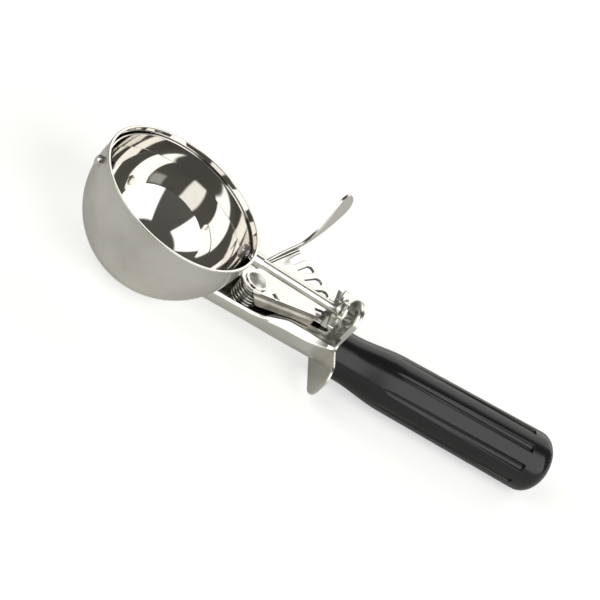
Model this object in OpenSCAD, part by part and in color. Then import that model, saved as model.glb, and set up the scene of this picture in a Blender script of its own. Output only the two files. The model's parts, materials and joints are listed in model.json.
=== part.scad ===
// Lever ice cream scoop with a scraper blade, driven by a toothed thumb lever.
// Working axes: X runs along the handle, away from the bowl; Z is up, out of the bowl's mouth.
// The bowl's sphere is centred on x = 0, y = 0 and rests on z = 0, as the handle does.
// The bowl and what turns in it are tilted by bowl_tilt about the centre of the sphere.

/* [Bowl] */
// Outside radius of the half sphere
bowl_r = 35; // [32:0.5:38]
// Thickness of the bowl's sheet
bowl_wall = 0.9; // [0.7:0.05:1.2]
// Height of the straight wall above the half sphere
bowl_lip_h = 6.4; // [5.5:0.1:9]
// Height of the band round the mouth
rim_band_h = 1.5; // [1:0.1:3]
// How far the band stands out from the wall
rim_band_out = 0.3; // [0.1:0.05:0.8]
// Angle by which the mouth leans toward the handle
bowl_tilt = 2.9; // [0:0.1:4]

/* [Scraper] */
// Thickness of the scraper blade
blade_t = 0.7; // [0.5:0.05:1]
// Gap between the blade and the inside of the bowl
blade_gap = 0.3; // [0.2:0.05:0.5]
// Half width of the blade at the middle of its arc
blade_half_w = 4.2; // [3:0.1:5.2]
// Half width of the blade at its two ends
blade_end_half_w = 2.7; // [2.4:0.1:3.6]
// Radius of the round eyes at the blade's ends
blade_eye_r = 3.4; // [3:0.1:4.5]
// Radius of the scraper rod
rod_r = 2; // [1.7:0.1:2.4]
// Radius of the rod's neck inside the blade
rod_neck_r = 1.4; // [1:0.1:1.6]
// Radius of the hammered heads on the rod's neck and on the far pin
rivet_head_r = 2.2; // [1.9:0.1:2.7]
// Thickness of those heads
rivet_head_t = 0.8; // [0.5:0.1:1.2]
// Outside radius of the collar ring inside the bowl
collar_r = 2.9; // [2.6:0.1:3.4]
// Thickness of the collar ring
collar_t = 1; // [0.6:0.1:1.6]
// Radius of the far pin's outer head
pin_head_r = 2.3; // [2:0.1:3]
// Height of the far pin's outer head
pin_head_h = 1.5; // [1:0.1:2.2]
// Radial running gap between a shaft and its bore
run_gap = 0.05; // [0.02:0.01:0.09]

/* [Rod bushes] */
// Outside radius of the bush in the bowl's wall
front_bush_r = 2.9; // [2.7:0.1:3.4]
// Flange radius of the bush in the bowl's wall
front_flange_r = 4.4; // [3.8:0.1:5.5]
// How far the front bush reaches out of the bowl
front_bush_out = 5.8; // [4:0.1:8]
// Outside radius of the bush in the ear
rear_bush_r = 3; // [2.7:0.1:3.4]
// Flange radius of the bush in the ear
rear_flange_r = 4.2; // [3.8:0.1:5.5]
// Thickness of both bush flanges
bush_flange_t = 1.2; // [0.8:0.1:1.6]
// Outside radius of the retaining clip behind the ear
clip_r = 3.6; // [3.2:0.1:4.4]
// Thickness of the clip
clip_t = 0.7; // [0.5:0.05:1]
// Depth of the rod's groove that holds the clip
clip_groove = 0.4; // [0.2:0.05:0.6]

/* [Pinion] */
// Number of pinion teeth
pinion_teeth = 8; // [8:1:8]
// Radius over the tips of the teeth
pinion_tip_r = 8.5; // [8.2:0.1:8.7]
// Radius of the pinion's hub
pinion_hub_r = 3.7; // [3.2:0.1:4.2]
// Width of the pinion's teeth along the rod
pinion_w = 2.8; // [2.4:0.1:3.4]
// Radius of the round flange behind the teeth
pinion_flange_r = 6.2; // [5.4:0.1:6.3]
// Thickness of that flange
pinion_flange_t = 1.1; // [0.8:0.1:1.6]
// Half thickness of a tooth at the hub
tooth_root_half = 1; // [0.8:0.05:1.1]
// Half thickness of a tooth at its round tip
tooth_tip_half = 0.55; // [0.45:0.05:0.6]
// Distance from the lever's pivot to the middle of the pinion
mesh_r = 32.5; // [32.2:0.1:32.8]

/* [Thumb lever] */
// Distance from the bowl's outside to the lever's pivot
pivot_gap = 10; // [9:0.5:11]
// Thickness of the lever's sheet
lever_t = 1.2; // [0.9:0.1:1.4]
// Height of the bowl's middle above the middle of the lever's plate
lever_drop = 11.2; // [10.8:0.1:11.4]
// Angle between two fingers
finger_pitch = 10.2; // [10.2:0.1:10.2]
// Number of fingers
finger_count = 6; // [6:1:6]
// Angle of the first finger, next to the near edge
first_finger = 0.4; // [0.4:0.1:0.4]
// Width of a finger
finger_w = 3; // [2.6:0.1:3.1]
// Radius over the finger tips
finger_tip_r = 38.6; // [37:0.2:38.8]
// Radius of the bottom of the slots between the fingers
slot_root_r = 27; // [25:0.5:28]
// Radius of the lever's hub
hub_r = 7.2; // [6.6:0.1:8]
// Angle of the first slot's side of the far wedge
wedge_start = 60; // [59:0.5:61]
// Distance from the pivot to the bend of the lever's far edge
far_edge_off = 5; // [4.6:0.1:6]
// Direction of the lever's far edge
far_edge_dir = 53.7; // [52:0.1:55]
// Inside radius of the lever's bends
bend_r = 0.8; // [0.5:0.1:1]
// Height of the near flange below the plate's middle, beside the pivot
near_flange_h = 4.1; // [3.5:0.1:5.2]
// Height of the near flange where it meets the first finger
near_flange_end_h = 2.7; // [2.4:0.1:3.4]
// How far the near flange runs past the hub
near_overrun = 3.5; // [1:0.5:5]
// Height of the far flange above the plate's middle, at its outer end
far_flange_h = 2.4; // [2:0.1:3.2]
// Distance of the thumb pad's tip from the pivot
tab_tip_r = 66.3; // [62:0.1:70]
// Direction of the thumb pad's tip from the pivot
tab_tip_dir = 62.5; // [61:0.1:64]
// Height of the thumb pad's tip above the plate
tab_rise = 19; // [16:0.5:22]
// Width of the thumb pad
tab_pad_w = 13.3; // [11:0.1:16]
// Angle by which the thumb pad is twisted
tab_twist = 19.6; // [8:0.1:28]
// Share of the tab's length over which it widens to the pad
tab_widening = 0.79; // [0.6:0.01:0.85]

/* [Pivot and spring] */
// Radius of the pivot post
post_r = 2.5; // [2:0.1:2.8]
// Radius of the post's domed head
post_head_r = 4; // [3.6:0.1:4.8]
// Height of the post's domed head
post_head_h = 1.7; // [1:0.1:2.2]
// Height of the hammered head under the shank
post_foot_h = 0.9; // [0.6:0.1:1.2]
// Radius of that head
post_foot_r = 3.8; // [3.2:0.1:4.6]
// Thickness of the washers on the post
washer_t = 0.5; // [0.4:0.05:0.7]
// Radius of the washers on the post
washer_r = 5; // [4.8:0.1:5.8]
// Outside radius of the spacer sleeve
sleeve_r = 3.8; // [3.4:0.1:4]
// Clearance under the washers and between turns
stack_gap = 0.1; // [0.05:0.01:0.15]
// Radius of the spring's wire
wire_r = 0.62; // [0.5:0.02:0.66]
// Mean radius of the spring's coil
coil_r = 5; // [4.9:0.1:5.4]
// Number of whole turns of the spring
coil_turns = 5; // [3:1:5]
// Rise of the coil in one turn
coil_pitch = 1.5; // [1.4:0.05:1.6]
// Length of the spring's tail along the shank's near wall
spring_tail = 14; // [8:0.5:16]

/* [Shank] */
// Width of the shank's channel
shank_w = 18.6; // [17.6:0.1:20]
// Height of the shank's underside above the table
shank_bottom = 9.4; // [8.8:0.1:10]
// Distance from the middle of the lever's plate down to the shank's top
shank_drop = 5.8; // [5.6:0.1:6.2]
// Thickness of the shank's sheet
shank_wall = 1.2; // [0.9:0.1:1.4]
// Radius of the shank's lower edges
shank_edge_r = 4; // [3:0.1:4.1]
// Radius over which the shank's walls roll inward at the top
shank_roll_r = 3; // [2:0.1:3.4]
// Length of the open channel behind the pivot
channel_len = 9; // [8:0.5:11]
// Distance from the end of the closing slot to the guard plate
slot_margin = 6.2; // [5:0.1:8]
// Half width of the slot where it ends
slot_half_w = 2.3; // [1.8:0.1:3]
// Half width of the tongue under the bowl
tongue_half_w = 6.5; // [5:0.1:7]
// Thickness of the tongue
tongue_t = 1.2; // [0.9:0.1:1.5]
// Place of the tongue's round end, as a share of the bowl's radius
tongue_share = 0.6; // [0.58:0.01:0.66]

/* [Guard plate] */
// Distance from the middle of the pinion's teeth to the guard plate's front
ear_gap = 6.7; // [6.7:0.1:9]
// Thickness of the guard plate
guard_t = 1.2; // [1:0.1:1.6]
// Half width of the ear that carries the rod
ear_half_w = 7.9; // [7.4:0.1:8.2]
// Depth of the ear's turned-in border
ear_border_d = 1.3; // [0.8:0.1:1.6]
// How far that border reaches down below the rod
ear_border_drop = 5.3; // [4:0.1:5.6]
// Thickness of that border
ear_border_t = 1; // [0.8:0.1:1.3]
// Half width of the finger guard
fin_half_w = 8.4; // [7:0.1:9]
// How far the middle of the finger guard lies below the handle's axis
fin_drop = 1.2; // [0:0.1:2]
// How far the finger guard reaches from the handle's axis
fin_reach = 24; // [22:0.5:28]
// Radius of the finger guard's corners
fin_corner_r = 6.8; // [4:0.1:7]
// Radius of the inner corner between ear and finger guard
guard_fillet = 3; // [1:0.1:5]

/* [Handle] */
// Length of the handle
handle_len = 109; // [100:0.2:125]
// Radius of the handle's neck
neck_r = 10; // [9.6:0.1:10.6]
// Radius where the neck's curve ends
flare_r = 12.1; // [11.8:0.1:12.4]
// Largest radius of the handle, near the butt
handle_r = 13.1; // [12.9:0.1:14]
// Straight length of the neck
neck_len = 9; // [6:0.5:14]
// Length of the curve from the neck to the grip
flare_len = 24; // [18:0.5:30]
// Length of the butt's rounded end
butt_len = 8.5; // [6:0.1:12]
// Radius of the flat at the middle of the butt
butt_flat_r = 1.5; // [1:0.1:6]
// Number of flutes round the grip
flute_count = 9; // [6:1:10]
// Angle of the first flute from the side of the lever
flute_start = 81.5; // [0:0.5:120]
// Radius of the round tool that cuts a flute
flute_tool_r = 1.8; // [1.5:0.1:2.6]
// Depth of a flute where the grip is thickest
flute_depth = 1.3; // [1.1:0.05:1.8]
// Distance from a flute's square end to the butt
flute_end = 13.5; // [11:0.5:20]
// Radius of the tang
tang_r = 3; // [2.4:0.1:3]
// Depth to which the tang is held in the handle
tang_depth = 62; // [40:1:80]
// Length of the tang's block inside the shank
block_len = 6; // [4:0.1:6.4]

/* [Hidden] */
$fn = 96;
eps = 0.01;
big = 200;

steel = [0.78, 0.78, 0.76];
satin_steel = [0.68, 0.67, 0.64];
dark_steel = [0.45, 0.45, 0.44];
black_plastic = [0.07, 0.07, 0.08];

// Bowl and scraper, measured from the middle of the sphere.
bowl_in_r = bowl_r - bowl_wall;
rim_r = bowl_r + rim_band_out;
blade_out_r = bowl_in_r - blade_gap;
blade_in_r = blade_out_r - blade_t;
far_pin_r = rod_neck_r;
pin_chamfer = 0.6;
collar_x = sqrt(pow(blade_in_r, 2) - pow(collar_r, 2)) - eps;
far_head_x = sqrt(pow(blade_in_r, 2) - pow(rivet_head_r, 2)) - 0.15;
bush_lip = 0.3;

// Along the handle, from the middle of the bowl.
pivot_x = bowl_r + pivot_gap;
pinion_x = pivot_x + mesh_r;
guard_x = pinion_x + ear_gap;
guard_back = guard_x + guard_t;
channel_end = pivot_x + channel_len;
slot_end = guard_x - slot_margin;
tongue_x = tongue_share * bowl_r;

// The rod leans down toward the handle, and the guard plate stands square to it on the handle's axis.
axis_z = handle_r;
function along_rod(x) = x / cos(bowl_tilt);
ear_x = guard_x * cos(bowl_tilt) + (bowl_r - axis_z) * sin(bowl_tilt);
ear_z = (bowl_r - axis_z) * cos(bowl_tilt) - guard_x * sin(bowl_tilt);
rear_flange_x = ear_x - bush_flange_t;
rear_bush_end = ear_x + guard_t + bush_lip;
clip_x = rear_bush_end + stack_gap;
rod_end = clip_x + clip_t + 1;

// Pinion and lever: the slots follow the pinion's teeth.
tooth_angle = 360 / pinion_teeth;
pinion_boss = 0.8;
turn_ratio = tooth_angle / finger_pitch;
first_slot = first_finger + finger_pitch / 2;
tooth_phase = first_slot * turn_ratio;
lever_z = bowl_r - lever_drop;
lever_top = lever_z + lever_t / 2;
lever_bottom = lever_z - lever_t / 2;
bend_out_r = bend_r + lever_t;
bend_root = 0.5;
near_foot = [slot_root_r, -finger_w / 2 - 0.1];
near_edge_dir = atan2(near_foot[1], near_foot[0]) + asin(hub_r / norm(near_foot));
near_start = hub_r * [sin(near_edge_dir), -cos(near_edge_dir)]
    - near_overrun * [cos(near_edge_dir), sin(near_edge_dir)];
far_edge_end = sqrt(pow(finger_tip_r, 2) - pow(far_edge_off, 2));

// Thumb tab: a strip swept along a cubic curve, from the far flange to the pad.
tab_steps = 30;
tab_root_w = far_flange_h;
tab_root_pull = 15.3;
tab_tip_pull = 9;
function flat_dir(a) = [cos(a), sin(a), 0];
tab_plane_offset = far_edge_off + bend_r + lever_t / 2;
tab_a = tab_plane_offset * flat_dir(far_edge_dir + 90) + (far_edge_end - 1) * flat_dir(far_edge_dir)
    + [0, 0, tab_root_w / 2];
tab_d = tab_tip_r * flat_dir(tab_tip_dir) + [0, 0, tab_rise];
tab_b = tab_a + tab_root_pull * flat_dir(far_edge_dir + 1);
tab_c = tab_d - tab_tip_pull * (flat_dir(tab_tip_dir + 3) + [0, 0, 1.13]) / norm([1, 0, 1.13]);
function unit(v) = v / norm(v);
function tab_at(s) = pow(1 - s, 3) * tab_a + 3 * s * pow(1 - s, 2) * tab_b
    + 3 * s * s * (1 - s) * tab_c + pow(s, 3) * tab_d;
function tab_along(s) = unit(pow(1 - s, 2) * (tab_b - tab_a) + 2 * s * (1 - s) * (tab_c - tab_b)
    + s * s * (tab_d - tab_c));
function ease(s) = s * s * (3 - 2 * s);
function tab_side(s) = unit(cross([0, 0, 1], tab_along(s)));
function tab_upright(s) = cross(tab_along(s), tab_side(s));
function tab_wide(s) = cos(tab_twist * ease(s)) * tab_upright(s) + sin(tab_twist * ease(s)) * tab_side(s);
function tab_thick(s) = cross(tab_wide(s), tab_along(s));
function tab_swell(s) = tab_root_w + (tab_pad_w - tab_root_w) * ease(min(1, s / tab_widening));
function tab_round(s) = s < tab_widening ? 1 : sqrt(max(0.02, 1 - pow((s - tab_widening) / (1 - tab_widening), 2)));
function tab_half_w(s) = tab_swell(s) * tab_round(s) / 2;
function tab_inset(s) = 0.06 * max(0, 1 - 6 * s);
function tab_corner(s, u, v) = tab_at(s) + u * (tab_half_w(s) - tab_inset(s)) * tab_wide(s)
    + v * (lever_t / 2 - tab_inset(s)) * tab_thick(s);
tab_points = [
    for (i = [0:tab_steps], c = [[-1, -1], [1, -1], [1, 1], [-1, 1]])
        let(s = 1 - pow(1 - i / tab_steps, 1.4)) tab_corner(s, c[0], c[1])
];
tab_faces = concat(
    [[3, 2, 1, 0]],
    [for (i = [0:tab_steps - 1], k = [0:3], half = [0, 1]) let(m = (k + 1) % 4)
        half == 0 ? [4 * i + k, 4 * i + 4 + m, 4 * i + 4 + k] : [4 * i + k, 4 * i + m, 4 * i + 4 + m]],
    [[for (k = [0:3]) 4 * tab_steps + k]]
);

// Stack on the pivot post, from the shank's floor up.
shank_top = lever_z - shank_drop;
floor_z = shank_bottom + shank_wall;
sleeve_z = floor_z + washer_t;
sleeve_top = lever_bottom - stack_gap;
post_bore_r = post_r + run_gap;
upper_washer_z = lever_top + stack_gap;
post_head_z = upper_washer_z + washer_t;
notch_r = 9.5;
notch_dir = -18.4;
notch_len = 3;
notch_w = 1.9;
leg_leaves = notch_dir + acos(coil_r / notch_r);
tail_meets = -100;
coil_sweep = 360 * coil_turns + 360 + tail_meets - leg_leaves;
coil_top = sleeve_top - wire_r - stack_gap;
coil_bottom = coil_top - coil_pitch * coil_sweep / 360;
wire_sides = 8;
coil_steps = 140;

// Handle.
handle_front = guard_back;
handle_end = handle_front + handle_len;
grip_start = handle_front + neck_len + flare_len;
grip_end = handle_end - butt_len;
flute_axis_r = handle_r - flute_depth + flute_tool_r;
curve_steps = 12;

// Origin: the middle of the bounding box, on the table.
box_x_min = -((bowl_r + pin_head_h) * cos(bowl_tilt) + (pin_head_r - pin_chamfer) * sin(bowl_tilt));
box_y_max = max([for (p = tab_points) p[1]]);
origin = [(box_x_min + handle_end) / 2, (box_y_max - rim_r) / 2, 0];

module placed() {
    translate(-origin) children();
}

module in_bowl() {
    placed() translate([0, 0, bowl_r]) rotate([0, bowl_tilt, 0]) children();
}

// The guard plate's axes: x square to its front face, origin on the handle's axis.
module at_guard() {
    placed() translate([guard_x, 0, axis_z]) rotate([0, bowl_tilt, 0]) children();
}

// Everything behind the plane x = x0 of those axes.
module behind_guard(x0) {
    at_guard() translate([x0, -big / 2, -big / 2]) cube(big);
}

module at_pivot(z) {
    placed() translate([pivot_x, 0, z]) children();
}

// A sphere with its seam turned away from the bowl's fittings.
module ball(r) {
    rotate(-90) sphere(r = r, $fn = 180);
}

// The outer surface of the bowl, filled.
module bowl_body() {
    ball(bowl_r);
    cylinder(r = bowl_r, h = bowl_lip_h);
}

// A round bar along X, from x0 to x1.
module bar(r, x0, x1) {
    translate([x0, 0, 0]) rotate([0, 90, 0]) cylinder(r = r, h = x1 - x0);
}

// A shape drawn in Y and Z, made into a slab from x0 to x1.
module slab(x0, x1) {
    translate([x0, 0, 0]) rotate([90, 0, 90]) linear_extrude(x1 - x0) children();
}

module bowl() {
    color(steel) in_bowl() difference() {
        union() {
            bowl_body();
            translate([0, 0, bowl_lip_h - rim_band_h]) cylinder(r = rim_r, h = rim_band_h);
        }
        ball(bowl_in_r);
        cylinder(r = bowl_in_r, h = bowl_lip_h + eps);
        translate([0, 0, bowl_lip_h]) cylinder(r = big, h = big);
        bar(front_bush_r, 0, big);
        bar(far_pin_r, -big, 0);
    }
}

// A rivet that the blade's far eye turns on.
module far_pin() {
    head_x = -bowl_r - pin_head_h;
    color(steel) in_bowl() {
        bar(far_pin_r, -bowl_r - eps, -far_head_x + eps);
        bar(rivet_head_r, -far_head_x, -far_head_x + rivet_head_t);
        difference() {
            union() {
                bar(pin_head_r, head_x + pin_chamfer, -bowl_r + 0.1);
                translate([head_x, 0, 0]) rotate([0, 90, 0])
                    cylinder(r1 = pin_head_r - pin_chamfer, r2 = pin_head_r, h = pin_chamfer);
            }
            bowl_body();
        }
    }
}

module front_rod_bush() {
    color(satin_steel) in_bowl() difference() {
        union() {
            bar(front_bush_r, blade_out_r + 0.2, bowl_r + front_bush_out);
            difference() {
                bar(front_flange_r, bowl_r - bush_flange_t, bowl_r + bush_flange_t);
                bowl_body();
            }
        }
        bar(rod_r + run_gap, 0, big);
    }
}

// Outline of the blade seen along Y: wide in the middle, narrow at the eyes.
module blade_outline() {
    steps = 24;
    function half_w(u) = blade_end_half_w + (blade_half_w - blade_end_half_w) * pow(cos(90 * u), 0.8);
    polygon([
        for (i = [-steps:steps]) [blade_out_r * i / steps, half_w(i / steps)],
        for (i = [steps:-1:-steps]) [blade_out_r * i / steps, -half_w(i / steps)]
    ]);
}

module scraper_blade() {
    color(steel) in_bowl() difference() {
        intersection() {
            ball(blade_out_r);
            union() {
                rotate([90, 0, 180]) linear_extrude(blade_out_r + 1) blade_outline();
                bar(blade_eye_r, blade_in_r - 2, big);
                bar(blade_eye_r, -big, -blade_in_r + 2);
            }
        }
        ball(blade_in_r);
        bar(rod_neck_r, 0, big);
        bar(far_pin_r + run_gap, -big, 0);
    }
}

// The ring that the rod's neck is hammered over.
module blade_collar() {
    color(dark_steel) in_bowl() difference() {
        bar(collar_r, collar_x - collar_t, collar_x);
        bar(rod_neck_r, 0, big);
    }
}

module scraper_rod() {
    neck_start = collar_x - collar_t;
    color(steel) in_bowl() {
        bar(rivet_head_r, neck_start - rivet_head_t, neck_start);
        bar(rod_neck_r, neck_start - eps, blade_out_r + eps);
        bar(rod_r, blade_out_r, clip_x);
        bar(rod_r - clip_groove, clip_x - eps, clip_x + clip_t + eps);
        bar(rod_r, clip_x + clip_t, rod_end);
    }
}

// One tooth, drawn upright, with straight flanks and a round tip.
module tooth() {
    tip_y = pinion_tip_r - tooth_tip_half;
    polygon([
        [-tooth_root_half, 0], [tooth_root_half, 0],
        [tooth_tip_half, tip_y], [-tooth_tip_half, tip_y]
    ]);
    translate([0, tip_y]) circle(r = tooth_tip_half, $fn = 32);
}

// Tooth 0 points down when the first slot is under the rod.
module pinion() {
    middle = along_rod(pinion_x);
    color(dark_steel) in_bowl() difference() {
        union() {
            slab(middle - pinion_w / 2, middle + pinion_w / 2)
                for (i = [0:pinion_teeth - 1]) rotate(180 + tooth_phase + i * tooth_angle) tooth();
            bar(pinion_flange_r, middle + pinion_w / 2 - eps, middle + pinion_w / 2 + pinion_flange_t);
            bar(pinion_hub_r, middle - pinion_w / 2, middle + pinion_w / 2 + pinion_flange_t + pinion_boss);
        }
        bar(rod_r, 0, big);
    }
}

module rear_rod_bush() {
    color(satin_steel) in_bowl() difference() {
        union() {
            bar(rear_flange_r, rear_flange_x, rear_flange_x + bush_flange_t);
            bar(rear_bush_r, rear_flange_x, rear_bush_end);
        }
        bar(rod_r + run_gap, 0, big);
    }
}

// An open ring that snaps into the rod's groove.
module rod_clip() {
    color(dark_steel) in_bowl() difference() {
        bar(clip_r, clip_x, clip_x + clip_t);
        bar(rod_r - clip_groove, 0, big);
        translate([0, -rod_r + clip_groove, 0]) cube([big, 2 * (rod_r - clip_groove), big]);
    }
}

// A rounded block drawn in Y and Z.
module rounded_block(half_w, z0, z1, low_r, high_r) {
    for (side = [-1, 1]) {
        translate([side * (half_w - low_r), z0 + low_r]) circle(r = low_r);
        translate([side * (half_w - high_r), z1 - high_r]) circle(r = high_r);
    }
    translate([-half_w, z0 + low_r]) square([2 * half_w, z1 - z0 - low_r - high_r]);
    translate([low_r - half_w, z0]) square([2 * (half_w - low_r), z1 - z0 - high_r]);
    translate([high_r - half_w, z0 + low_r]) square([2 * (half_w - high_r), z1 - z0 - low_r]);
}

module shank_inside() {
    rounded_block(shank_w / 2 - shank_wall, floor_z, shank_top - shank_wall,
        shank_edge_r - shank_wall, shank_roll_r - shank_wall);
}

// Plan of the open top: a full channel that narrows to a slot between the folded edges.
module shank_mouth() {
    full = shank_w / 2 - shank_wall;
    steps = 16;
    function half_w(s) = slot_half_w + (full - slot_half_w) * pow(1 - s, 2.2);
    function x_at(s) = channel_end + s * (slot_end - channel_end);
    polygon(concat(
        [[0, full]],
        [for (i = [0:steps]) [x_at(i / steps), half_w(i / steps)]],
        [for (i = [steps:-1:0]) [x_at(i / steps), -half_w(i / steps)]],
        [[0, -full]]
    ));
    translate([slot_end, 0]) circle(r = slot_half_w);
}

module shank() {
    color(satin_steel) difference() {
        placed() shank_body();
        behind_guard(0);
    }
}

module shank_body() {
    difference() {
        slab(0, guard_x + 1) rounded_block(shank_w / 2, shank_bottom, shank_top, shank_edge_r, shank_roll_r);
        slab(-1, guard_x + 2) shank_inside();
        translate([0, 0, shank_top - shank_roll_r]) linear_extrude(big) shank_mouth();
        translate([pivot_x, 0, 0]) cylinder(r = post_r, h = big);
        translate([0, 0, bowl_r]) ball(bowl_r);
        translate([-eps, -big / 2, 0]) cube([tongue_x, big, big]);
    }
    intersection() {
        difference() {
            translate([0, 0, bowl_r]) ball(bowl_r + tongue_t);
            translate([0, 0, bowl_r]) ball(bowl_r);
        }
        linear_extrude(shank_top - shank_roll_r) {
            translate([tongue_x, 0]) circle(r = tongue_half_w);
            translate([tongue_x, -tongue_half_w]) square([bowl_r, 2 * tongue_half_w]);
        }
    }
}

module ear_outline(inset) {
    half_w = ear_half_w - inset;
    translate([0, ear_z]) circle(r = half_w);
    translate([-half_w, 0]) square([2 * half_w, ear_z]);
}

module fin_outline() {
    middle = -fin_drop;
    top = middle + fin_half_w;
    difference() {
        union() {
            translate([-fin_reach + fin_corner_r, middle - fin_half_w])
                square([fin_reach - fin_corner_r + ear_half_w, 2 * fin_half_w]);
            translate([-fin_reach, middle - fin_half_w + fin_corner_r])
                square([fin_reach, 2 * (fin_half_w - fin_corner_r)]);
            for (side = [-1, 1])
                translate([-fin_reach + fin_corner_r, middle + side * (fin_half_w - fin_corner_r)])
                    circle(r = fin_corner_r);
            translate([-ear_half_w - guard_fillet, top - eps]) square([guard_fillet + eps, guard_fillet]);
        }
        translate([-ear_half_w - guard_fillet, top + guard_fillet]) circle(r = guard_fillet);
    }
}

// One sheet: an ear for the rod above and a finger guard to the side.
module guard_plate() {
    color(satin_steel) difference() {
        at_guard() {
            slab(0, guard_t) {
                ear_outline(0);
                fin_outline();
            }
            difference() {
                slab(-ear_border_d, eps) difference() {
                    ear_outline(0);
                    ear_outline(ear_border_t);
                }
                translate([-big / 2, -big / 2, ear_z - ear_border_drop - big]) cube(big);
            }
        }
        in_bowl() bar(rear_bush_r, 0, big);
        placed() translate([0, 0, axis_z]) bar(tang_r, 0, big);
    }
}

// A block in the closed end of the shank, and a bar that runs into the handle.
module tang() {
    color(dark_steel) {
        difference() {
            placed() slab(guard_x - block_len, guard_x + 1) shank_inside();
            behind_guard(0);
        }
        placed() translate([0, 0, axis_z]) bar(tang_r, guard_x - 1, handle_front + tang_depth);
    }
}

module handle_profile() {
    polygon(concat(
        [[handle_front - 1, 0], [handle_front - 1, neck_r]],
        [for (i = [0:curve_steps]) let(s = i / curve_steps)
            [handle_front + neck_len + s * flare_len, neck_r + (flare_r - neck_r) * ease(s)]],
        [for (i = [0:curve_steps]) let(a = 90 - 90 * i / curve_steps)
            [grip_end + butt_len * cos(a), butt_flat_r + (handle_r - butt_flat_r) * sin(a)]],
        [[handle_end, 0]]
    ));
}

module handle() {
    color(black_plastic) difference() {
        placed() translate([0, 0, axis_z]) difference() {
            rotate([0, 90, 0]) rotate_extrude() rotate(90) mirror([0, 1]) handle_profile();
            bar(tang_r, handle_front - 2, handle_front + tang_depth);
            for (i = [0:flute_count - 1])
                rotate([flute_start + i * 360 / flute_count, 0, 0]) translate([0, flute_axis_r, 0])
                    bar(flute_tool_r, handle_front + neck_len, handle_end - flute_end);
        }
        at_guard() translate([guard_t - big, -big / 2, -big / 2]) cube(big);
    }
}

// Plan of the lever's flat plate, with its pivot at the origin.
module lever_plan() {
    far_foot = far_edge_off * [-sin(far_edge_dir), cos(far_edge_dir)];
    far_tip = far_foot + 1.1 * far_edge_end * [cos(far_edge_dir), sin(far_edge_dir)];
    wedge_tip = finger_tip_r * [cos(wedge_start), sin(wedge_start)];
    circle(r = hub_r);
    intersection() {
        circle(r = slot_root_r + 0.6);
        polygon([[0, 0], near_start, near_foot, [2 * slot_root_r, near_foot[1]], 2 * wedge_tip, far_tip, far_foot]);
    }
    intersection() {
        circle(r = finger_tip_r);
        polygon([[0, 0], 1.1 * wedge_tip, far_tip, far_foot]);
    }
    for (i = [0:finger_count - 1]) rotate(first_finger + i * finger_pitch) {
        translate([hub_r, -finger_w / 2]) square([finger_tip_r - finger_w / 2 - hub_r, finger_w]);
        translate([finger_tip_r - finger_w / 2, 0]) circle(r = finger_w / 2, $fn = 32);
    }
}

// Section of a sheet bent through a right angle, from the flat at x < 0 down to y = -h.
module bent_sheet(h) {
    translate([0, -bend_r]) difference() {
        circle(r = bend_out_r, $fn = 48);
        circle(r = bend_r, $fn = 48);
        translate([-big, -big / 2]) square([big, big]);
        translate([-big / 2, -big]) square([big, big]);
    }
    translate([bend_r, -h]) square([lever_t, h - bend_r + eps]);
    translate([-bend_root, 0]) square([bend_root + eps, lever_t]);
}

// The near flange: it runs beside the hub to the first finger and gets lower.
module near_flange() {
    run = norm(near_foot - near_start);
    fall = atan2(near_flange_h - near_flange_end_h, run);
    translate([near_start[0], near_start[1], 0]) rotate(near_edge_dir) difference() {
        translate([0, 0, -lever_t / 2]) rotate([90, 0, 90])
            mirror([1, 0, 0]) linear_extrude(run) bent_sheet(near_flange_h);
        translate([0, 0, -near_flange_h]) {
            rotate([0, -fall, 0]) translate([-big / 2, -big / 2, -big]) cube([big, big, big]);
            translate([near_overrun + 1, 0, 0]) rotate([0, -44, 0])
                translate([-big, -big / 2, -big / 2]) cube([big, big, big]);
        }
    }
}

// The far flange: it turns up and grows toward the thumb tab.
module far_flange() {
    start_u = hub_r + 2 * bend_r;
    rise = atan2(far_flange_h - lever_t / 2, far_edge_end - start_u);
    rotate(far_edge_dir) translate([0, far_edge_off, 0]) difference() {
        translate([start_u, 0, lever_t / 2]) rotate([90, 0, 90]) mirror([0, 1, 0])
            linear_extrude(far_edge_end - start_u - 0.3) bent_sheet(far_flange_h - lever_t / 2);
        translate([start_u, -big / 2, lever_t / 2]) rotate([0, -rise, 0]) cube([big, big, big]);
    }
}

module thumb_lever() {
    color(steel) at_pivot(lever_z) difference() {
        union() {
            translate([0, 0, -lever_t / 2]) linear_extrude(lever_t) lever_plan();
            near_flange();
            far_flange();
            polyhedron(points = tab_points, faces = tab_faces);
        }
        translate([0, 0, -big / 2]) cylinder(r = post_bore_r, h = big);
        rotate(notch_dir) translate([notch_r, 0, 0]) rotate(leg_leaves - 90 - notch_dir)
            cube([notch_len, notch_w, 2 * lever_t], center = true);
    }
}

module pivot_post() {
    dome_r = (pow(post_head_r, 2) + pow(post_head_h, 2)) / (2 * post_head_h);
    color(dark_steel) {
        at_pivot(shank_bottom - post_foot_h) cylinder(r = post_foot_r, h = post_foot_h);
        at_pivot(shank_bottom - eps) cylinder(r = post_r, h = post_head_z - shank_bottom + 2 * eps);
        at_pivot(post_head_z) intersection() {
            translate([0, 0, post_head_h - dome_r]) sphere(r = dome_r);
            cylinder(r = post_head_r, h = post_head_h + 1);
        }
    }
}

module spacer_sleeve() {
    color(satin_steel) at_pivot(sleeve_z) difference() {
        cylinder(r = sleeve_r, h = sleeve_top - sleeve_z);
        translate([0, 0, -1]) cylinder(r = post_r, h = big);
    }
}

module washer(z) {
    at_pivot(z) difference() {
        cylinder(r = washer_r, h = washer_t);
        translate([0, 0, -1]) cylinder(r = post_r, h = big);
    }
}

module lower_washer() {
    color(steel) washer(floor_z);
}

module upper_washer() {
    color(steel) washer(upper_washer_z);
}

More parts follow.
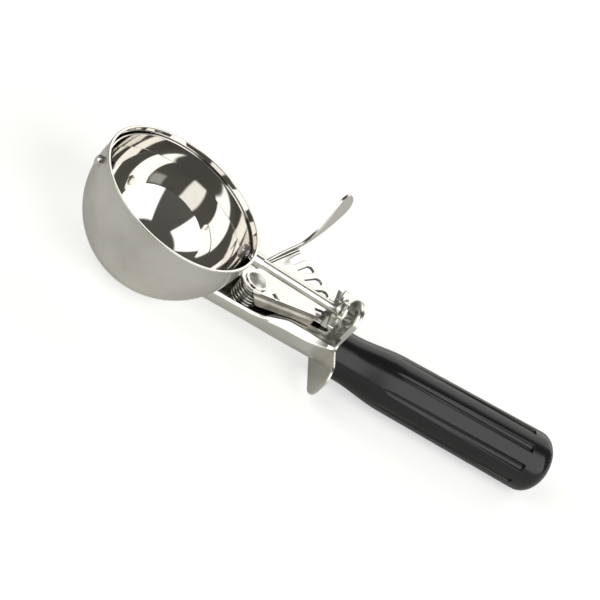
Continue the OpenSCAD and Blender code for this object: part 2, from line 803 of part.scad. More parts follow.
// Centre line of the wire: a tail to the near wall, the coil, and a leg under the notch.
function at_angle(r, a) = [r * cos(a), r * sin(a), 0];
wire_path = concat(
    [at_angle(coil_r, tail_meets) + at_angle(spring_tail, tail_meets + 90) + [0, 0, coil_bottom]],
    [for (i = [0:coil_steps]) let(t = i / coil_steps)
        at_angle(coil_r, tail_meets - coil_sweep * t) + [0, 0, coil_bottom + t * (coil_top - coil_bottom)]],
    [at_angle(notch_r, notch_dir) + at_angle(notch_len / 3, leg_leaves - 90) + [0, 0, coil_top]]
);
function wire_dir(i) = unit(wire_path[min(i + 1, len(wire_path) - 1)] - wire_path[max(i - 1, 0)]);
wire_points = [
    for (i = [0:len(wire_path) - 1], k = [0:wire_sides - 1])
        let(d = wire_dir(i), out = unit(cross(d, [0, 0, 1])), up = cross(out, d), a = 360 * k / wire_sides)
            wire_path[i] + wire_r * (cos(a) * out + sin(a) * up)
];
wire_faces = concat(
    [[for (k = [wire_sides - 1:-1:0]) k]],
    [for (i = [0:len(wire_path) - 2], k = [0:wire_sides - 1], half = [0, 1])
        let(a = wire_sides * i, b = a + wire_sides, m = (k + 1) % wire_sides)
            half == 0 ? [a + k, b + m, b + k] : [a + k, a + m, b + m]],
    [[for (k = [0:wire_sides - 1]) wire_sides * (len(wire_path) - 1) + k]]
);

module lever_spring() {
    color(dark_steel) at_pivot(0) polyhedron(points = wire_points, faces = wire_faces);
}

bowl();
far_pin();
front_rod_bush();
scraper_blade();
blade_collar();
scraper_rod();
pinion();
rear_rod_bush();
rod_clip();
shank();
guard_plate();
tang();
handle();
thumb_lever();
pivot_post();
spacer_sleeve();
lower_washer();
upper_washer();
lever_spring();
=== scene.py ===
import json
import bmesh
import bpy
import numpy as np
from mathutils import Matrix, Vector
from mathutils.geometry import tessellate_polygon


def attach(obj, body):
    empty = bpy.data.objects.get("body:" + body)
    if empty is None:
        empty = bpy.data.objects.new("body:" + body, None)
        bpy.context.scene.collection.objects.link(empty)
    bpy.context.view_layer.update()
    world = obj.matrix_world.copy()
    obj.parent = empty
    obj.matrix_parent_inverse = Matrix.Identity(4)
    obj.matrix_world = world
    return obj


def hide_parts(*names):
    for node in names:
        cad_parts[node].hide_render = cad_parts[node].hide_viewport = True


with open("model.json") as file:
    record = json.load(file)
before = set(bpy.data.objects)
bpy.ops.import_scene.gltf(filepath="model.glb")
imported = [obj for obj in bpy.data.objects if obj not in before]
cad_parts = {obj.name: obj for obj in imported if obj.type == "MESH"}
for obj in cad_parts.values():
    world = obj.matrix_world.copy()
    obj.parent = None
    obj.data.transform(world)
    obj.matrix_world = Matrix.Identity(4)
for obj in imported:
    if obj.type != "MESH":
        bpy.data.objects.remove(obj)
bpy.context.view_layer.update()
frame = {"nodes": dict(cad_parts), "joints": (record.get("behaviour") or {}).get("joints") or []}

bl_info = {
    "name": "Lever ice cream scoop",
    "version": (1, 0, 0),
    "blender": (4, 5, 0),
    "location": "View3D > Sidebar > Scoop",
    "description": "Dresses the packed scoop: bowl, scraper, thumb lever, spring, shank, guard and handle",
    "category": "Object",
}

# ----- Frames that the pieces are worked out in. Lengths are metres.
MM = 0.001
JOINTS = {joint["name"]: joint for joint in frame["joints"]}


def unit(v):
    """Each vector divided by its own length."""
    v = np.asarray(v, float)
    return v / np.linalg.norm(v, axis=-1, keepdims=True)


BOWL_CENTRE = np.array(JOINTS["scraper_turn"]["pos_m"], float)
ROD_DIR = unit(JOINTS["scraper_turn"]["axis"])
BOWL_AXES = np.array([ROD_DIR, [0.0, 1.0, 0.0], np.cross(ROD_DIR, [0.0, 1.0, 0.0])])
PIVOT = np.array(JOINTS["lever_press"]["pos_m"], float)
WORK = np.array([BOWL_CENTRE[0], BOWL_CENTRE[1], 0.0])
# In working axes: the guard's front on the handle's axis, the axis' height, the pinion's middle and the handle's front.
GUARD_X, AXIS_Z, PINION_X, HANDLE_X = 84.2 * MM, 13.1 * MM, 77.5 * MM, 85.4 * MM
GUARD = WORK + np.array([GUARD_X, 0.0, AXIS_Z])


def placed(origin, axes=np.eye(3)):
    """A function that takes points from axes of their own to the part's frame: origin + points @ axes."""
    return lambda points: origin + np.asarray(points) @ axes


# Bowl axes: x along the rod, z out of the mouth, origin at the ball's middle. Lever axes: origin on the pivot, in the
# middle of the plate. Working axes: x along the handle, z up from the table. Guard axes: x square to the guard plate,
# origin where its front meets the handle's axis.
from_bowl, from_pivot = placed(BOWL_CENTRE, BOWL_AXES), placed(PIVOT)
from_work, from_guard = placed(WORK), placed(GUARD, BOWL_AXES)


def guard_plane(z, depth=0.0):
    """x, in working axes, of the plane that lies depth behind the guard's front: it leans as the rod does."""
    return GUARD_X + depth / ROD_DIR[0] - (z - AXIS_Z) * ROD_DIR[2] / ROD_DIR[0]


# ----- Shapes
def ease(s):
    """0 to 1 with level ends: s squared times (3 - 2 s)."""
    s = np.clip(s, 0.0, 1.0)
    return s * s * (3 - 2 * s)


def part(x, start, stop):
    """How far x is on the way from start to stop: (x - start) / (stop - start), held between 0 and 1."""
    return np.clip((x - start) / (stop - start), 0, 1)


def half_chord(radius, off):
    """Half the chord of a circle at the distance off from its middle: the root of radius squared less off squared."""
    return np.sqrt(np.clip(radius ** 2 - off ** 2, 0, None))


def polar(radius, degrees):
    """Points at a radius and an angle."""
    a = np.radians(degrees)
    return np.stack([radius * np.cos(a), radius * np.sin(a)], -1)


def arc(centre, radius, start, stop, steps):
    """Points of a circle's arc in a plane, from angle start to stop in degrees."""
    return np.asarray(centre) + polar(radius, np.linspace(start, stop, steps))


def grid_faces(rows, cols, close_rows=False, close_cols=True):
    """Four-cornered faces between neighbouring rows and columns of a grid; a closed direction joins its last line to
    its first."""
    r = np.arange(rows if close_rows else rows - 1)
    c = np.arange(cols if close_cols else cols - 1)
    r, c = np.meshgrid(r, c, indexing="ij")
    r2, c2 = (r + 1) % rows, (c + 1) % cols
    return np.stack([r * cols + c, r * cols + c2, r2 * cols + c2, r2 * cols + c], -1).reshape(-1, 4)


def turned(profile, steps, closed=False):
    """Surface of revolution: a profile point (along, radius) becomes (along, radius cos a, radius sin a) for a whole
    turn of a."""
    a = np.linspace(0, 2 * np.pi, steps, endpoint=False)
    along, radius = np.asarray(profile, float).T[:, :, None]
    points = np.stack([along + 0 * a, radius * np.cos(a), radius * np.sin(a)], -1)
    return points.reshape(-1, 3), [grid_faces(len(along), steps, close_rows=closed)], [False]


def capped(points, flat=True):
    """A grid of points whose columns close, with both ends filled, each by one flat or one smooth face."""
    rows, cols = points.shape[:2]
    ends = [np.arange(cols)[None, :], (rows - 1) * cols + np.arange(cols)[::-1][None, :]]
    return points.reshape(-1, 3), [grid_faces(rows, cols), *ends], [False, flat, flat]


def swept(centres, wide, deep, across, through):
    """A section carried along a path, with both ends filled: point = centre + across * wide + through * deep."""
    points = centres[:, None] + across[..., None] * wide[:, None] + through[..., None] * deep[:, None]
    return capped(points, flat=False)


def rounded_box(half_w, half_t, radius, steps=5):
    """Section of a strip with round edges, one row for each half width: corner centres at (half_w - radius,
    half_t - radius), plus radius (cos a, sin a), with extra points on the two wide faces that keep them flat."""
    half_w, half_t, radius = (v[:, None] for v in np.broadcast_arrays(*np.atleast_1d(half_w, half_t, radius)))
    a, between = np.linspace(0, np.pi / 2, steps), np.array([0.97, 0.6, 0.0, -0.6, -0.97])
    across, through = [], []
    for side, turn in ((1, a), (-1, a + np.pi)):
        across += [side * (half_w - radius) + radius * np.cos(turn), side * (half_w - radius) * between,
                   -side * (half_w - radius) + radius * np.cos(turn + np.pi / 2)]
        through += [side * (half_t - radius) + radius * np.sin(turn), side * half_t + 0 * between,
                    side * (half_t - radius) + radius * np.sin(turn + np.pi / 2)]
    return np.concatenate(across, 1), np.concatenate(through, 1)


def join(*shapes):
    """Several shapes as one: the face numbers of each are raised by the number of points before it. A shape is its
    points, its blocks of faces, and for each block whether it is shaded flat."""
    before = np.cumsum([0] + [len(points) for points, *_ in shapes])
    faces = [block + count for (_, blocks, _), count in zip(shapes, before) for block in blocks]
    return np.concatenate([shape[0] for shape in shapes]), faces, sum((shape[2] for shape in shapes), [])


def reordered(shape, axes):
    """A shape with its axes taken in another order, which lays a plate square to x, or a bowl's axis along z."""
    points, *rest = shape
    return points[:, axes], *rest


def mirrored(side):
    """Half of each section and its mirror image as one loop, without a second point where the two meet."""
    return np.concatenate([side, (side * [-1, 1])[:, ::-1][:, 1:-1]], 1)


def bent_edge(drop, bend, sheet, edge=0.3 * MM, root=1.2 * MM):
    """Section of a sheet's edge that is bent over, one row for each drop. At the distance q from the start of the
    bend the sheet's middle has turned by q / r, up to a right angle, then goes straight; the surface lies half a
    sheet either side of it, and the free edge is a half ellipse. Gives the distances outward and along the bend's
    direction."""
    r = bend + sheet / 2
    drop = np.atleast_1d(drop)[:, None]
    whole = np.where(drop > r, r * np.pi / 2 + drop - r, r * np.arccos(1 - np.clip(drop, 0, r) / r))
    edge = np.minimum(edge, whole / 2)
    out = np.concatenate([np.repeat([[-root, -0.52 * MM, -0.2 * MM]], len(drop), 0),
                          (whole - edge) * np.linspace(0, 1, 18) ** 0.9], 1)
    side = np.full(out.shape, sheet / 2)
    side[:, 0] *= 0.94
    b = np.linspace(np.pi / 2, -np.pi / 2, 9)[1:-1]
    q = np.concatenate([out, whole - edge + edge * np.cos(b), out[:, ::-1]], 1)
    h = np.concatenate([side, np.repeat(sheet / 2 * np.sin(b)[None], len(drop), 0), -side[:, ::-1]], 1)
    turn = np.clip(q / r, 0, np.pi / 2)
    outward = np.where(q < 0, q, r * np.sin(turn)) + h * np.sin(turn)
    along_bend = r * (1 - np.cos(turn)) + np.clip(q - r * np.pi / 2, 0, None) - h * np.cos(turn)
    return outward, along_bend


def inset(outline, amount):
    """A closed outline moved to its left by amount: each corner goes along the bisector, by amount over the cosine of
    half the turn."""
    before, after = np.roll(outline, 1, 0), np.roll(outline, -1, 0)
    n0, n1 = (unit(d)[:, ::-1] * [-1, 1] for d in (outline - before, after - outline))
    bisector = unit(n0 + n1)
    return outline + bisector * amount / np.clip((bisector * n0).sum(-1, keepdims=True), 0.5, 1)


def plate(outlines, low, high, edge, top_edge=None, steps=5):
    """A flat plate with round edges. Each outline (the outer one turning left, holes turning right) is carried up the
    edge section, a quarter of an ellipse at either face: inset = edge (1 - cos a), depth = deep (1 - sin a), with deep
    at most half the plate. The faces are filled between the inset outlines."""
    a = np.linspace(0, np.pi / 2, steps)
    top_edge = edge if top_edge is None else top_edge
    deep, top_deep = (min(e, 0.48 * (high - low)) for e in (edge, top_edge))
    insets = np.concatenate([edge * (1 - np.sin(a)), top_edge * (1 - np.cos(a))])
    heights = np.concatenate([low + deep * (1 - np.cos(a)), high - top_deep * (1 - np.sin(a))])
    points, faces, first, last, rims, count = [], [], [], [], [], 0
    for outline in outlines:
        n = len(outline)
        rings = np.array([np.column_stack([inset(outline, i), np.full(n, h)]) for i, h in zip(insets, heights)])
        points.append(rings.reshape(-1, 3))
        faces.append(grid_faces(len(rings), n) + count)
        first.append(np.arange(n) + count)
        count += len(points[-1])
        last.append(np.arange(n) + count - n)
        rims.append([Vector(p) for p in rings[0]])
    fill = np.array(tessellate_polygon(rims))
    faces += [np.concatenate(first)[fill], np.concatenate(last)[fill]]
    return np.concatenate(points), faces, [False] * len(outlines) + [True, True]


def stand(name, shape, place, body, slot, node, *materials, angle=40):
    """Makes one piece: puts the shape's points through place, merges doubles, turns its faces outward, shades edges
    sharper than angle as edges, hangs the piece under its body's empty, and hides the node that it stands in for."""
    points, faces, flat = shape
    mesh = bpy.data.meshes.new(name)
    mesh.from_pydata(place(points).tolist(), [], sum((block.tolist() for block in faces), []))
    smooth = np.concatenate([np.full(len(block), not f) for block, f in zip(faces, flat)])
    mesh.polygons.foreach_set("use_smooth", smooth)
    soup = bmesh.new()
    soup.from_mesh(mesh)
    bmesh.ops.remove_doubles(soup, verts=soup.verts, dist=1e-7)
    bmesh.ops.recalc_face_normals(soup, faces=soup.faces)
    soup.to_mesh(mesh)
    soup.free()
    mesh.set_sharp_from_angle(angle=np.radians(angle))
    piece = bpy.data.objects.new(name, mesh)
    bpy.context.scene.collection.objects.link(piece)
    for material in materials:
        mesh.materials.append(material)
    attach(piece, body)
    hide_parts(node)
    return piece


def faces_of(piece, origin):
    """The middle of each face, measured from origin, and the direction that it looks in."""
    faces = piece.data.polygons
    return np.array([face.center for face in faces]) - origin, np.array([face.normal for face in faces])


def share_out(piece, numbers):
    """Gives each face the material of its number."""
    piece.data.polygons.foreach_set("material_index", numbers.astype(int))


# ----- Outlines, paths and shells of the scoop's own pieces
def circle(centre, radius, steps=48):
    """A hole's outline, turning right."""
    return arc(centre, radius, 0, -360, steps + 1)[:-1]


# Directions on the lever, in degrees from the handle's axis: the first finger, the wedge's near side, the far edge and
# the spring's notch. The notch lies NOTCH_R from the pivot, the near edge's foot FOOT_X, and the rack's windows end
# RIM_TO_WINDOW inside the rim. POST_HOLE is the radius of the post's hole.
FIRST_FINGER, WEDGE, FAR_DIR, NOTCH_DIR = 0.4, 60.0, 53.7, -18.4
NOTCH_R, FOOT_X, RIM_TO_WINDOW, POST_HOLE = 9.5 * MM, 27 * MM, 3.7 * MM, 2.55 * MM
# Direction of the spring's leg, where it leaves the coil for the lever's notch.
SPRING_LEG = NOTCH_DIR + np.degrees(np.arccos(5 * MM / NOTCH_R))
# Direction of the handle's first flute, in degrees round its axis.
FIRST_FLUTE = 81.5


def near_edge(s):
    """The lever's near edge: its foot by the first finger, and the direction of the line from there that touches the
    hub."""
    foot = np.array([FOOT_X, -s.finger_w / 2 - 0.1 * MM])
    return foot, np.degrees(np.arctan2(foot[1], foot[0]) + np.arcsin(s.hub / np.hypot(*foot)))


def lever_outlines(s, leg, spare):
    """The lever's plate: hub arc, near edge, round rim over the rack's fingers, open slot, the far wedge and the far
    edge; then the post's hole, the spring's notch and a window between each two fingers. The two bent edges get some
    spare sheet, which lies inside the bends. A window's round end touches both its sides:
    radius = end sin(pitch / 2) - half a finger."""
    foot, near_dir = near_edge(s)
    half, end = s.finger_w / 2, s.finger_tip - RIM_TO_WINDOW
    side = np.degrees(np.arcsin(half / s.slot_root))
    last = FIRST_FINGER + (s.fingers - 1) * s.pitch
    outward, far_out = spare * polar(1.0, near_dir - 90), s.far_edge + spare
    far = FAR_DIR + np.degrees(np.arcsin(s.far_edge / s.hub))
    outer = FAR_DIR + np.degrees(np.arcsin(far_out / s.finger_tip))
    step = polar(far_out, FAR_DIR + 90) + polar(s.hub + 2 * s.bend, FAR_DIR)
    outline = [
        polar(s.hub, near_dir - 90)[None] + outward, foot[None] + outward,
        polar(s.slot_root, np.array([FIRST_FINGER - side])),
        arc(polar(s.finger_tip - half, FIRST_FINGER), half, FIRST_FINGER - 90, FIRST_FINGER, 7),
        arc((0, 0), s.finger_tip, FIRST_FINGER, last, 60)[1:-1],
        arc(polar(s.finger_tip - half, last), half, last, last + 90, 7),
        arc((0, 0), s.slot_root, last + side, WEDGE, 7), arc((0, 0), s.finger_tip, WEDGE, outer, 4),
        step[None], (step - spare * polar(1.0, FAR_DIR + 90))[None], arc((0, 0), s.hub, far, 270 + near_dir, 60),
    ]
    windows = []
    for start in FIRST_FINGER + s.pitch * np.arange(s.fingers - 1):
        middle, stop = start + s.pitch / 2, start + s.pitch
        bow = arc(polar(end, middle), end * np.sin(np.radians(s.pitch / 2)) - half, start - 90, stop + 90, 17)
        windows.append(np.concatenate([bow, arc((0, 0), s.slot_root, stop - side, start + side, 5)])[::-1])
    notch_length, notch_width = 3 * MM, 1.9 * MM
    ahead, across = polar(notch_length / 2, leg), polar(notch_width / 2, leg + 90)
    notch = polar(NOTCH_R, NOTCH_DIR) + np.array([ahead + across, ahead - across, -ahead - across, -ahead + across])
    return [np.concatenate(outline), circle((0, 0), POST_HOLE), notch, *windows]


def along_edge(start, degrees, along, outward, sideways, up):
    """Points of a bent edge: start + along * heading + outward * (heading turned by sideways), raised by up."""
    heading, across = polar(1.0, degrees), polar(1.0, degrees + sideways)
    flat = start + along[:, None, None] * heading + outward[..., None] * across
    return np.concatenate([flat, up[..., None]], -1)


def near_flange(s):
    """Bent down beside the hub: its depth falls evenly from near_drop to near_end, under a slanting cut at the hub's
    end."""
    foot, degrees = near_edge(s)
    touch = polar(s.hub, degrees - 90)
    run, start, cut_slope = np.hypot(*(foot - touch)), 3.5 * MM, 1.036
    along = np.concatenate([np.linspace(-2.9, 1.0, 16), np.linspace(1.3, run / MM, 24)]) * MM
    even = s.near_drop - (s.near_drop - s.near_end) * (along + start) / (run + start)
    slanting = s.near_drop - cut_slope * (1 * MM - along)
    outward, down = bent_edge(np.clip(np.minimum(even, slanting), 0.1 * MM, None), s.bend, s.sheet)
    return capped(along_edge(touch, degrees, along, outward, -90, -down))


def far_flange(s):
    """Bent up along the far edge: its height grows evenly from the sheet's top to far_rise."""
    start, end = s.hub + 2 * s.bend, np.sqrt(s.finger_tip ** 2 - s.far_edge ** 2)
    along = np.concatenate([np.linspace(start - 2.5 * MM, start, 8)[:-1], np.linspace(start, end - 0.3 * MM, 30)])
    rise = s.sheet / 2 + (s.far_rise - s.sheet / 2) * part(along, start, end)
    rise = rise * (0.15 + 0.85 * ease((along - start) / (2.5 * MM) + 1))
    outward, up = bent_edge(rise, s.bend, s.sheet)
    return capped(along_edge(polar(s.far_edge, FAR_DIR + 90), FAR_DIR, along, outward, 90, up))


def thumb_tab(s):
    """A strip along a cubic curve from the far flange to the pad: (1-t)^3 a + 3 t (1-t)^2 b + 3 t^2 (1-t) c + t^3 d.
    Its width direction starts upright and turns by the twist; the width eases out to the pad, whose end is a half
    ellipse."""
    twist, widening, edge = np.radians(19.6), 0.79, 0.34 * MM
    tip_dir, end_dir, end_climb, first_pull, last_pull = 62.5, 65.5, 1.13, 15.3 * MM, 9 * MM
    end = np.sqrt(s.finger_tip ** 2 - s.far_edge ** 2) - 1 * MM
    root = polar(s.far_edge + s.bend + s.sheet / 2, FAR_DIR + 90) + polar(end, FAR_DIR)
    a, d = np.append(root, s.far_rise / 2), np.append(polar(s.pad_reach, tip_dir), s.pad_rise)
    b = a + first_pull * np.append(polar(1.0, FAR_DIR + 1), 0)
    c = d - last_pull * unit(np.append(polar(1.0, end_dir), end_climb))
    t = (1 - (1 - np.linspace(0, 1, 110)) ** 1.8)[:, None]
    path = (1 - t) ** 3 * a + 3 * t * (1 - t) ** 2 * b + 3 * t * t * (1 - t) * c + t ** 3 * d
    along = unit((1 - t) ** 2 * (b - a) + 2 * t * (1 - t) * (c - b) + t * t * (d - c))
    level = unit(np.cross([0, 0, 1.0], along))
    turn = twist * ease(t)
    wide = np.cos(turn) * np.cross(along, level) + np.sin(turn) * level
    t = t[:, 0]
    swell = s.far_rise + (s.pad_w - s.far_rise) * ease(t / widening)
    half_w = np.maximum(swell * half_chord(1, part(t, widening, 1)) / 2, 0.12 * MM)
    left = np.linalg.norm(path - path[-1], axis=-1)
    half_t = s.sheet / 2 - edge + half_chord(edge, np.clip(edge - left, 0, None))
    return swept(path, wide, np.cross(wide, along), *rounded_box(half_w, half_t, np.minimum(edge, half_w * 0.98)))


def spring_path(s, leg):
    """The wire's middle, from the pivot: a straight tail, the coil at coil * (cos a, sin a) that rises evenly, and a
    straight leg to the lever's notch."""
    turns, tail, tail_length, top = 5, -100.0, 14 * MM, -1.42 * MM
    sweep = turns * 360 + 360 + tail - leg
    low = top - s.coil_pitch * sweep / 360
    t = np.linspace(0, 1, 420)
    coil = np.column_stack([polar(s.coil, tail - sweep * t), low + t * (top - low)])
    start = np.append(polar(s.coil, tail) + polar(tail_length, tail + 90), low)
    end = np.append(polar(NOTCH_R, NOTCH_DIR) + polar(1 * MM, leg - 90), top)
    return np.concatenate([np.linspace(start, coil[0], 12)[:-1], coil, np.linspace(coil[-1], end, 8)[1:]])


def wire(path, radius, steps=16):
    """A round wire along a path: centre + radius (cos a * side + sin a * up), with side square to the path and
    level."""
    along = unit(np.gradient(path, axis=0))
    side = unit(np.cross(along, [0, 0, 1.0]))
    a = np.linspace(0, 2 * np.pi, steps, endpoint=False)
    rows = np.ones((len(path), 1))
    return swept(path, side, np.cross(side, along), rows * radius * np.cos(a), rows * radius * np.sin(a))


def pinion_outline(s, phase):
    """Teeth with straight flanks that narrow outward and half-round tips, on a round hub: each tooth's direction is
    (-sin a, cos a)."""
    tip, foot, hollow = 0.55 * MM, 0.8 * MM, 0.35 * MM
    base, step = np.sqrt(s.hub ** 2 - foot ** 2), 180 / s.teeth
    root = arc((foot + hollow, base + 0.42 * MM), hollow, 250, 180, 5)
    valley = arc((0, 0), s.hub, 90 - step - 5, 90 - step + 3, 4)
    tooth = np.concatenate([valley, root, arc((0, s.tooth_tip - tip), tip, 0, 180, 11), root[::-1] * [-1, 1]])
    outline = []
    for a in np.radians(180 + phase + 2 * step * np.arange(s.teeth)):
        outline.append(tooth @ np.array([[np.cos(a), np.sin(a)], [-np.sin(a), np.cos(a)]]))
    return np.concatenate(outline)


def guard_outline(s):
    """The guard plate: a finger guard with two round corners, and an ear with a half-round top, joined by a small
    hollow."""
    middle, corner, r, hollow = -1.2 * MM, 1 * MM, 6.8 * MM, 3 * MM
    low, high, left = middle - s.fin, middle + s.fin, -s.fin_reach + r
    return np.concatenate([
        arc((s.ear - corner, low + corner), corner, -90, 0, 7), arc((0, ear_height()), s.ear, 0, 180, 49),
        arc((-s.ear - hollow, high + hollow), hollow, 0, -90, 11), arc((left, high - r), r, 90, 180, 15),
        arc((left, low + r), r, 180, 270, 15),
    ])


def ear_height():
    """Height of the rod above the handle's axis where it goes through the guard plate, along the plate."""
    return float((BOWL_CENTRE - GUARD) @ BOWL_AXES[2])


def ear_border(s):
    """The ear's turned-in border: a section carried up one side, round the top and down the other, at the ear's half
    width less its own distance inward."""
    bend, ahead, wide = 0.4 * MM, -0.9 * MM, 1 * MM
    round_off, inner = arc((bend, ahead), bend, 180, 270, 6), arc((0.6 * MM, ahead), bend, -90, 0, 6)
    section = np.concatenate([[(0.2 * MM, 0.5 * MM), (0, 0.3 * MM)], round_off, inner, [(wide, 0.2 * MM)]])
    inward, x = section.T
    leg = np.concatenate([[-5.3, -5.2, -4.0, -2.0], np.zeros(61), [-2.0, -4.0, -5.2, -5.3]]) * MM
    a = np.radians(np.concatenate([np.zeros(4), np.linspace(0, 180, 61), np.full(4, 180.0)]))[:, None]
    radius = s.ear - inward[None]
    shrink = np.ones((len(leg), 1))
    points = np.stack([x[None] * shrink, radius * np.cos(a), ear_height() + leg[:, None] + radius * np.sin(a)], -1)
    return capped(points)


def shank_half(s, x):
    """Half width of the shank's open top at x: the whole inside up to the pivot, then narrowing by a power of 2.2 to
    the slot, whose end is a half circle."""
    full, start, end = s.width / 2 - s.sheet, 54 * MM, 78 * MM
    open_half = s.slot + (full - s.slot) * (1 - part(x, start, end)) ** 2.2
    return np.where(x > end, np.maximum(half_chord(s.slot, x - end), 0.03 * MM), open_half)


def folded(runs):
    """Middle line of a folded sheet, one row for each section: straight runs (length, no radius) and bends (turn,
    radius) in order, each starting where the last one ends. Gives the distances across and up, and the direction's
    angle."""
    across, up, heading = [], [], []
    y = z = angle = np.zeros((len(runs[0][0]), 1))
    for amount, radius, steps in runs:
        t = np.linspace(0, 1, steps)
        if radius is None:
            a, ys, zs = angle + 0 * t, y + amount * t * np.cos(angle), z + amount * t * np.sin(angle)
        else:
            a = angle + amount * t
            ys, zs = y + radius * (np.sin(a) - np.sin(angle)), z + radius * (np.cos(angle) - np.cos(a))
        for kept, new in ((across, ys), (up, zs), (heading, a)):
            kept.append(new[:, :-1])
        y, z, angle = ys[:, -1:], zs[:, -1:], a[:, -1:]
    return (np.concatenate([*kept, last], 1) for kept, last in ((across, y), (up, z), (heading, angle)))


def shank_side(s, x):
    """One half of the shank's folded sheet, from the keel to the free edge, one row for each x. The walls are upright
    by the pivot. Toward the guard plate they lean in by 45 degrees times closing, which eases from 0 to 1 over 17 mm,
    and their upright part grows with closing and with last, the square of the way over the final 13 mm. The straight
    part of the lean fills what the bends leave of the height."""
    closing_x, closing_run, last_x, last_run = 48 * MM, 17 * MM, 71 * MM, 13 * MM
    closing = ease((x - closing_x) / closing_run)[:, None]
    last = np.clip((x - last_x) / last_run, 0, None)[:, None] ** 2
    t = s.sheet
    lean, low_bend, knee = np.radians(45) * closing, s.low_bend + 0.4 * MM - 0.8 * MM * closing, 1.8 * MM
    roll = (s.roll - t / 2) * (1 - 0.5 * closing)
    height = s.high - s.low - t + (2.4 * closing + 0.8 * last) * MM
    left = height - low_bend - knee * np.sin(lean) - roll * (1 - np.sin(lean))
    upright = np.minimum((0.9 + 2.0 * closing + 3.2 * last) * MM, left - 0.3 * MM)
    slope = (left - upright) / np.cos(lean)
    half = (s.width - t) / 2
    centre = half - knee * (1 - np.cos(lean)) - slope * np.sin(lean) - roll * np.cos(lean)
    free = shank_half(s, x)[:, None]
    turned_in = np.arccos(np.clip((free - centre) / roll, 0, np.cos(lean))) - lean
    flat = np.clip(centre - free, 0, None)
    right = np.full(lean.shape, np.pi / 2)
    return folded([(half - low_bend, None, 6), (right, low_bend, 16), (upright, None, 5), (lean, knee, 8),
                   (slope, None, 8), (turned_in, roll, 12), (flat, None, 8)])


def shank_shell(s, ball):
    """The shank's folded sheet: each section lies half a sheet either side of its middle line, and each free edge is a
    half ellipse. Its front end lies on the bowl's ball and its back end on the guard plate."""
    front, back = 24 * MM, 83 * MM
    front_done, back_begun = front + 12 * MM, back - 7 * MM
    x = np.concatenate([np.linspace(24, 36, 9)[:-1], np.linspace(36, 50, 12)[:-1], np.linspace(50, 76, 60)[:-1],
                        np.linspace(76, 83, 40)]) * MM
    y, z, angle = shank_side(s, x)
    b = np.linspace(0, np.pi / 2, 7)[1:]
    lip = 0.35 * MM * np.sin(b)
    y, z = (np.concatenate([v, v[:, -1:] + lip * way(angle[:, -1:])], 1) for v, way in ((y, np.cos), (z, np.sin)))
    angle = np.concatenate([angle, np.repeat(angle[:, -1:], len(b), 1)], 1)
    h = s.sheet / 2 * np.concatenate([np.ones(angle.shape[1] - len(b)), np.cos(b)])
    z = z + s.low + s.sheet / 2
    outer = np.stack([y + h * np.sin(angle), z - h * np.cos(angle)], -1)
    inner = np.stack([y - h * np.sin(angle), z + h * np.cos(angle)], -1)
    y, z = np.moveaxis(mirrored(np.concatenate([outer, inner[:, ::-1][:, 1:]], 1)), -1, 0)
    x = x[:, None]
    start = np.sqrt(ball ** 2 - y ** 2 - (z - BOWL_CENTRE[2]) ** 2)
    place = x + part(x, front_done, front) * (start - front) + part(x, back_begun, back) * (guard_plane(z) - back)
    rows, cols = y.shape
    n = outer.shape[1]
    a, end = np.arange(n - 2), (rows - 1) * cols
    wall, lip_end = np.stack([a, a + 1, 2 * n - 3 - a, 2 * n - 2 - a], -1), np.array([[n - 2, n - 1, n]])
    wall, lip_end = (np.concatenate([v, (cols - v) % cols]) for v in (wall, lip_end))
    faces = [grid_faces(rows, cols), wall, lip_end, wall[:, ::-1] + end, lip_end[:, ::-1] + end]
    return np.stack([place, y, z], -1).reshape(-1, 3), faces, [False, True, True, True, True]


def tongue(s, ball):
    """The tongue under the bowl: a patch of the ball's shell, from the ball's surface to a sheet's thickness outside
    it, over a strip with a round end."""
    half, end, root = 6.5 * MM, 21 * MM, 28.4 * MM
    a, b = np.linspace(0, 1, 24)[:, None], np.linspace(-1, 1, 21)[None]
    y = half * np.sin(b * np.pi / 2) * np.ones_like(a)
    nose = end - half_chord(half, y)
    x = nose + a * (root - nose)
    top, under = (BOWL_CENTRE[2] - np.sqrt(r ** 2 - x ** 2 - y ** 2) for r in (ball, ball + s.sheet))
    rows, cols = y.shape
    count = rows * cols
    points = np.concatenate([np.stack([x, y, z], -1).reshape(-1, 3) for z in (top, under)])
    grid = grid_faces(rows, cols, close_cols=False)
    number = np.arange(count).reshape(rows, cols)
    rim = np.concatenate([number[0], number[1:, -1], number[-1, -2::-1], number[-2:0:-1, 0]])
    following = np.roll(rim, -1)
    walls = np.stack([rim, following, following + count, rim + count], -1)
    return points, [grid, grid[:, ::-1] + count, walls], [False, False, True]


# ----- Shader maths
class Value:
    """A socket of a node tree. Python's operators on it add Math nodes, so 1 - mask and noise * 0.2 work."""

    def __init__(self, tree, socket):
        self.tree, self.socket = tree, socket

    def math(self, operation, *others, first=None):
        node = self.tree.nodes.new("ShaderNodeMath")
        node.operation = operation
        values = [self, *others] if first is None else [first, self]
        for slot, value in zip(node.inputs, values):
            connect(self.tree, slot, value)
        return Value(self.tree, node.outputs[0])

    def __add__(self, other):
        return self.math("ADD", other)

    def __sub__(self, other):
        return self.math("SUBTRACT", other)

    def __mul__(self, other):
        return self.math("MULTIPLY", other)

    def __rsub__(self, other):
        return self.math("SUBTRACT", first=other)

    __radd__ = __add__
    __rmul__ = __mul__


def connect(tree, slot, value):
    """Links a Value to a socket, or sets the socket to a plain number, colour or vector."""
    if isinstance(value, Value):
        tree.links.new(value.socket, slot)
    else:
        slot.default_value = value


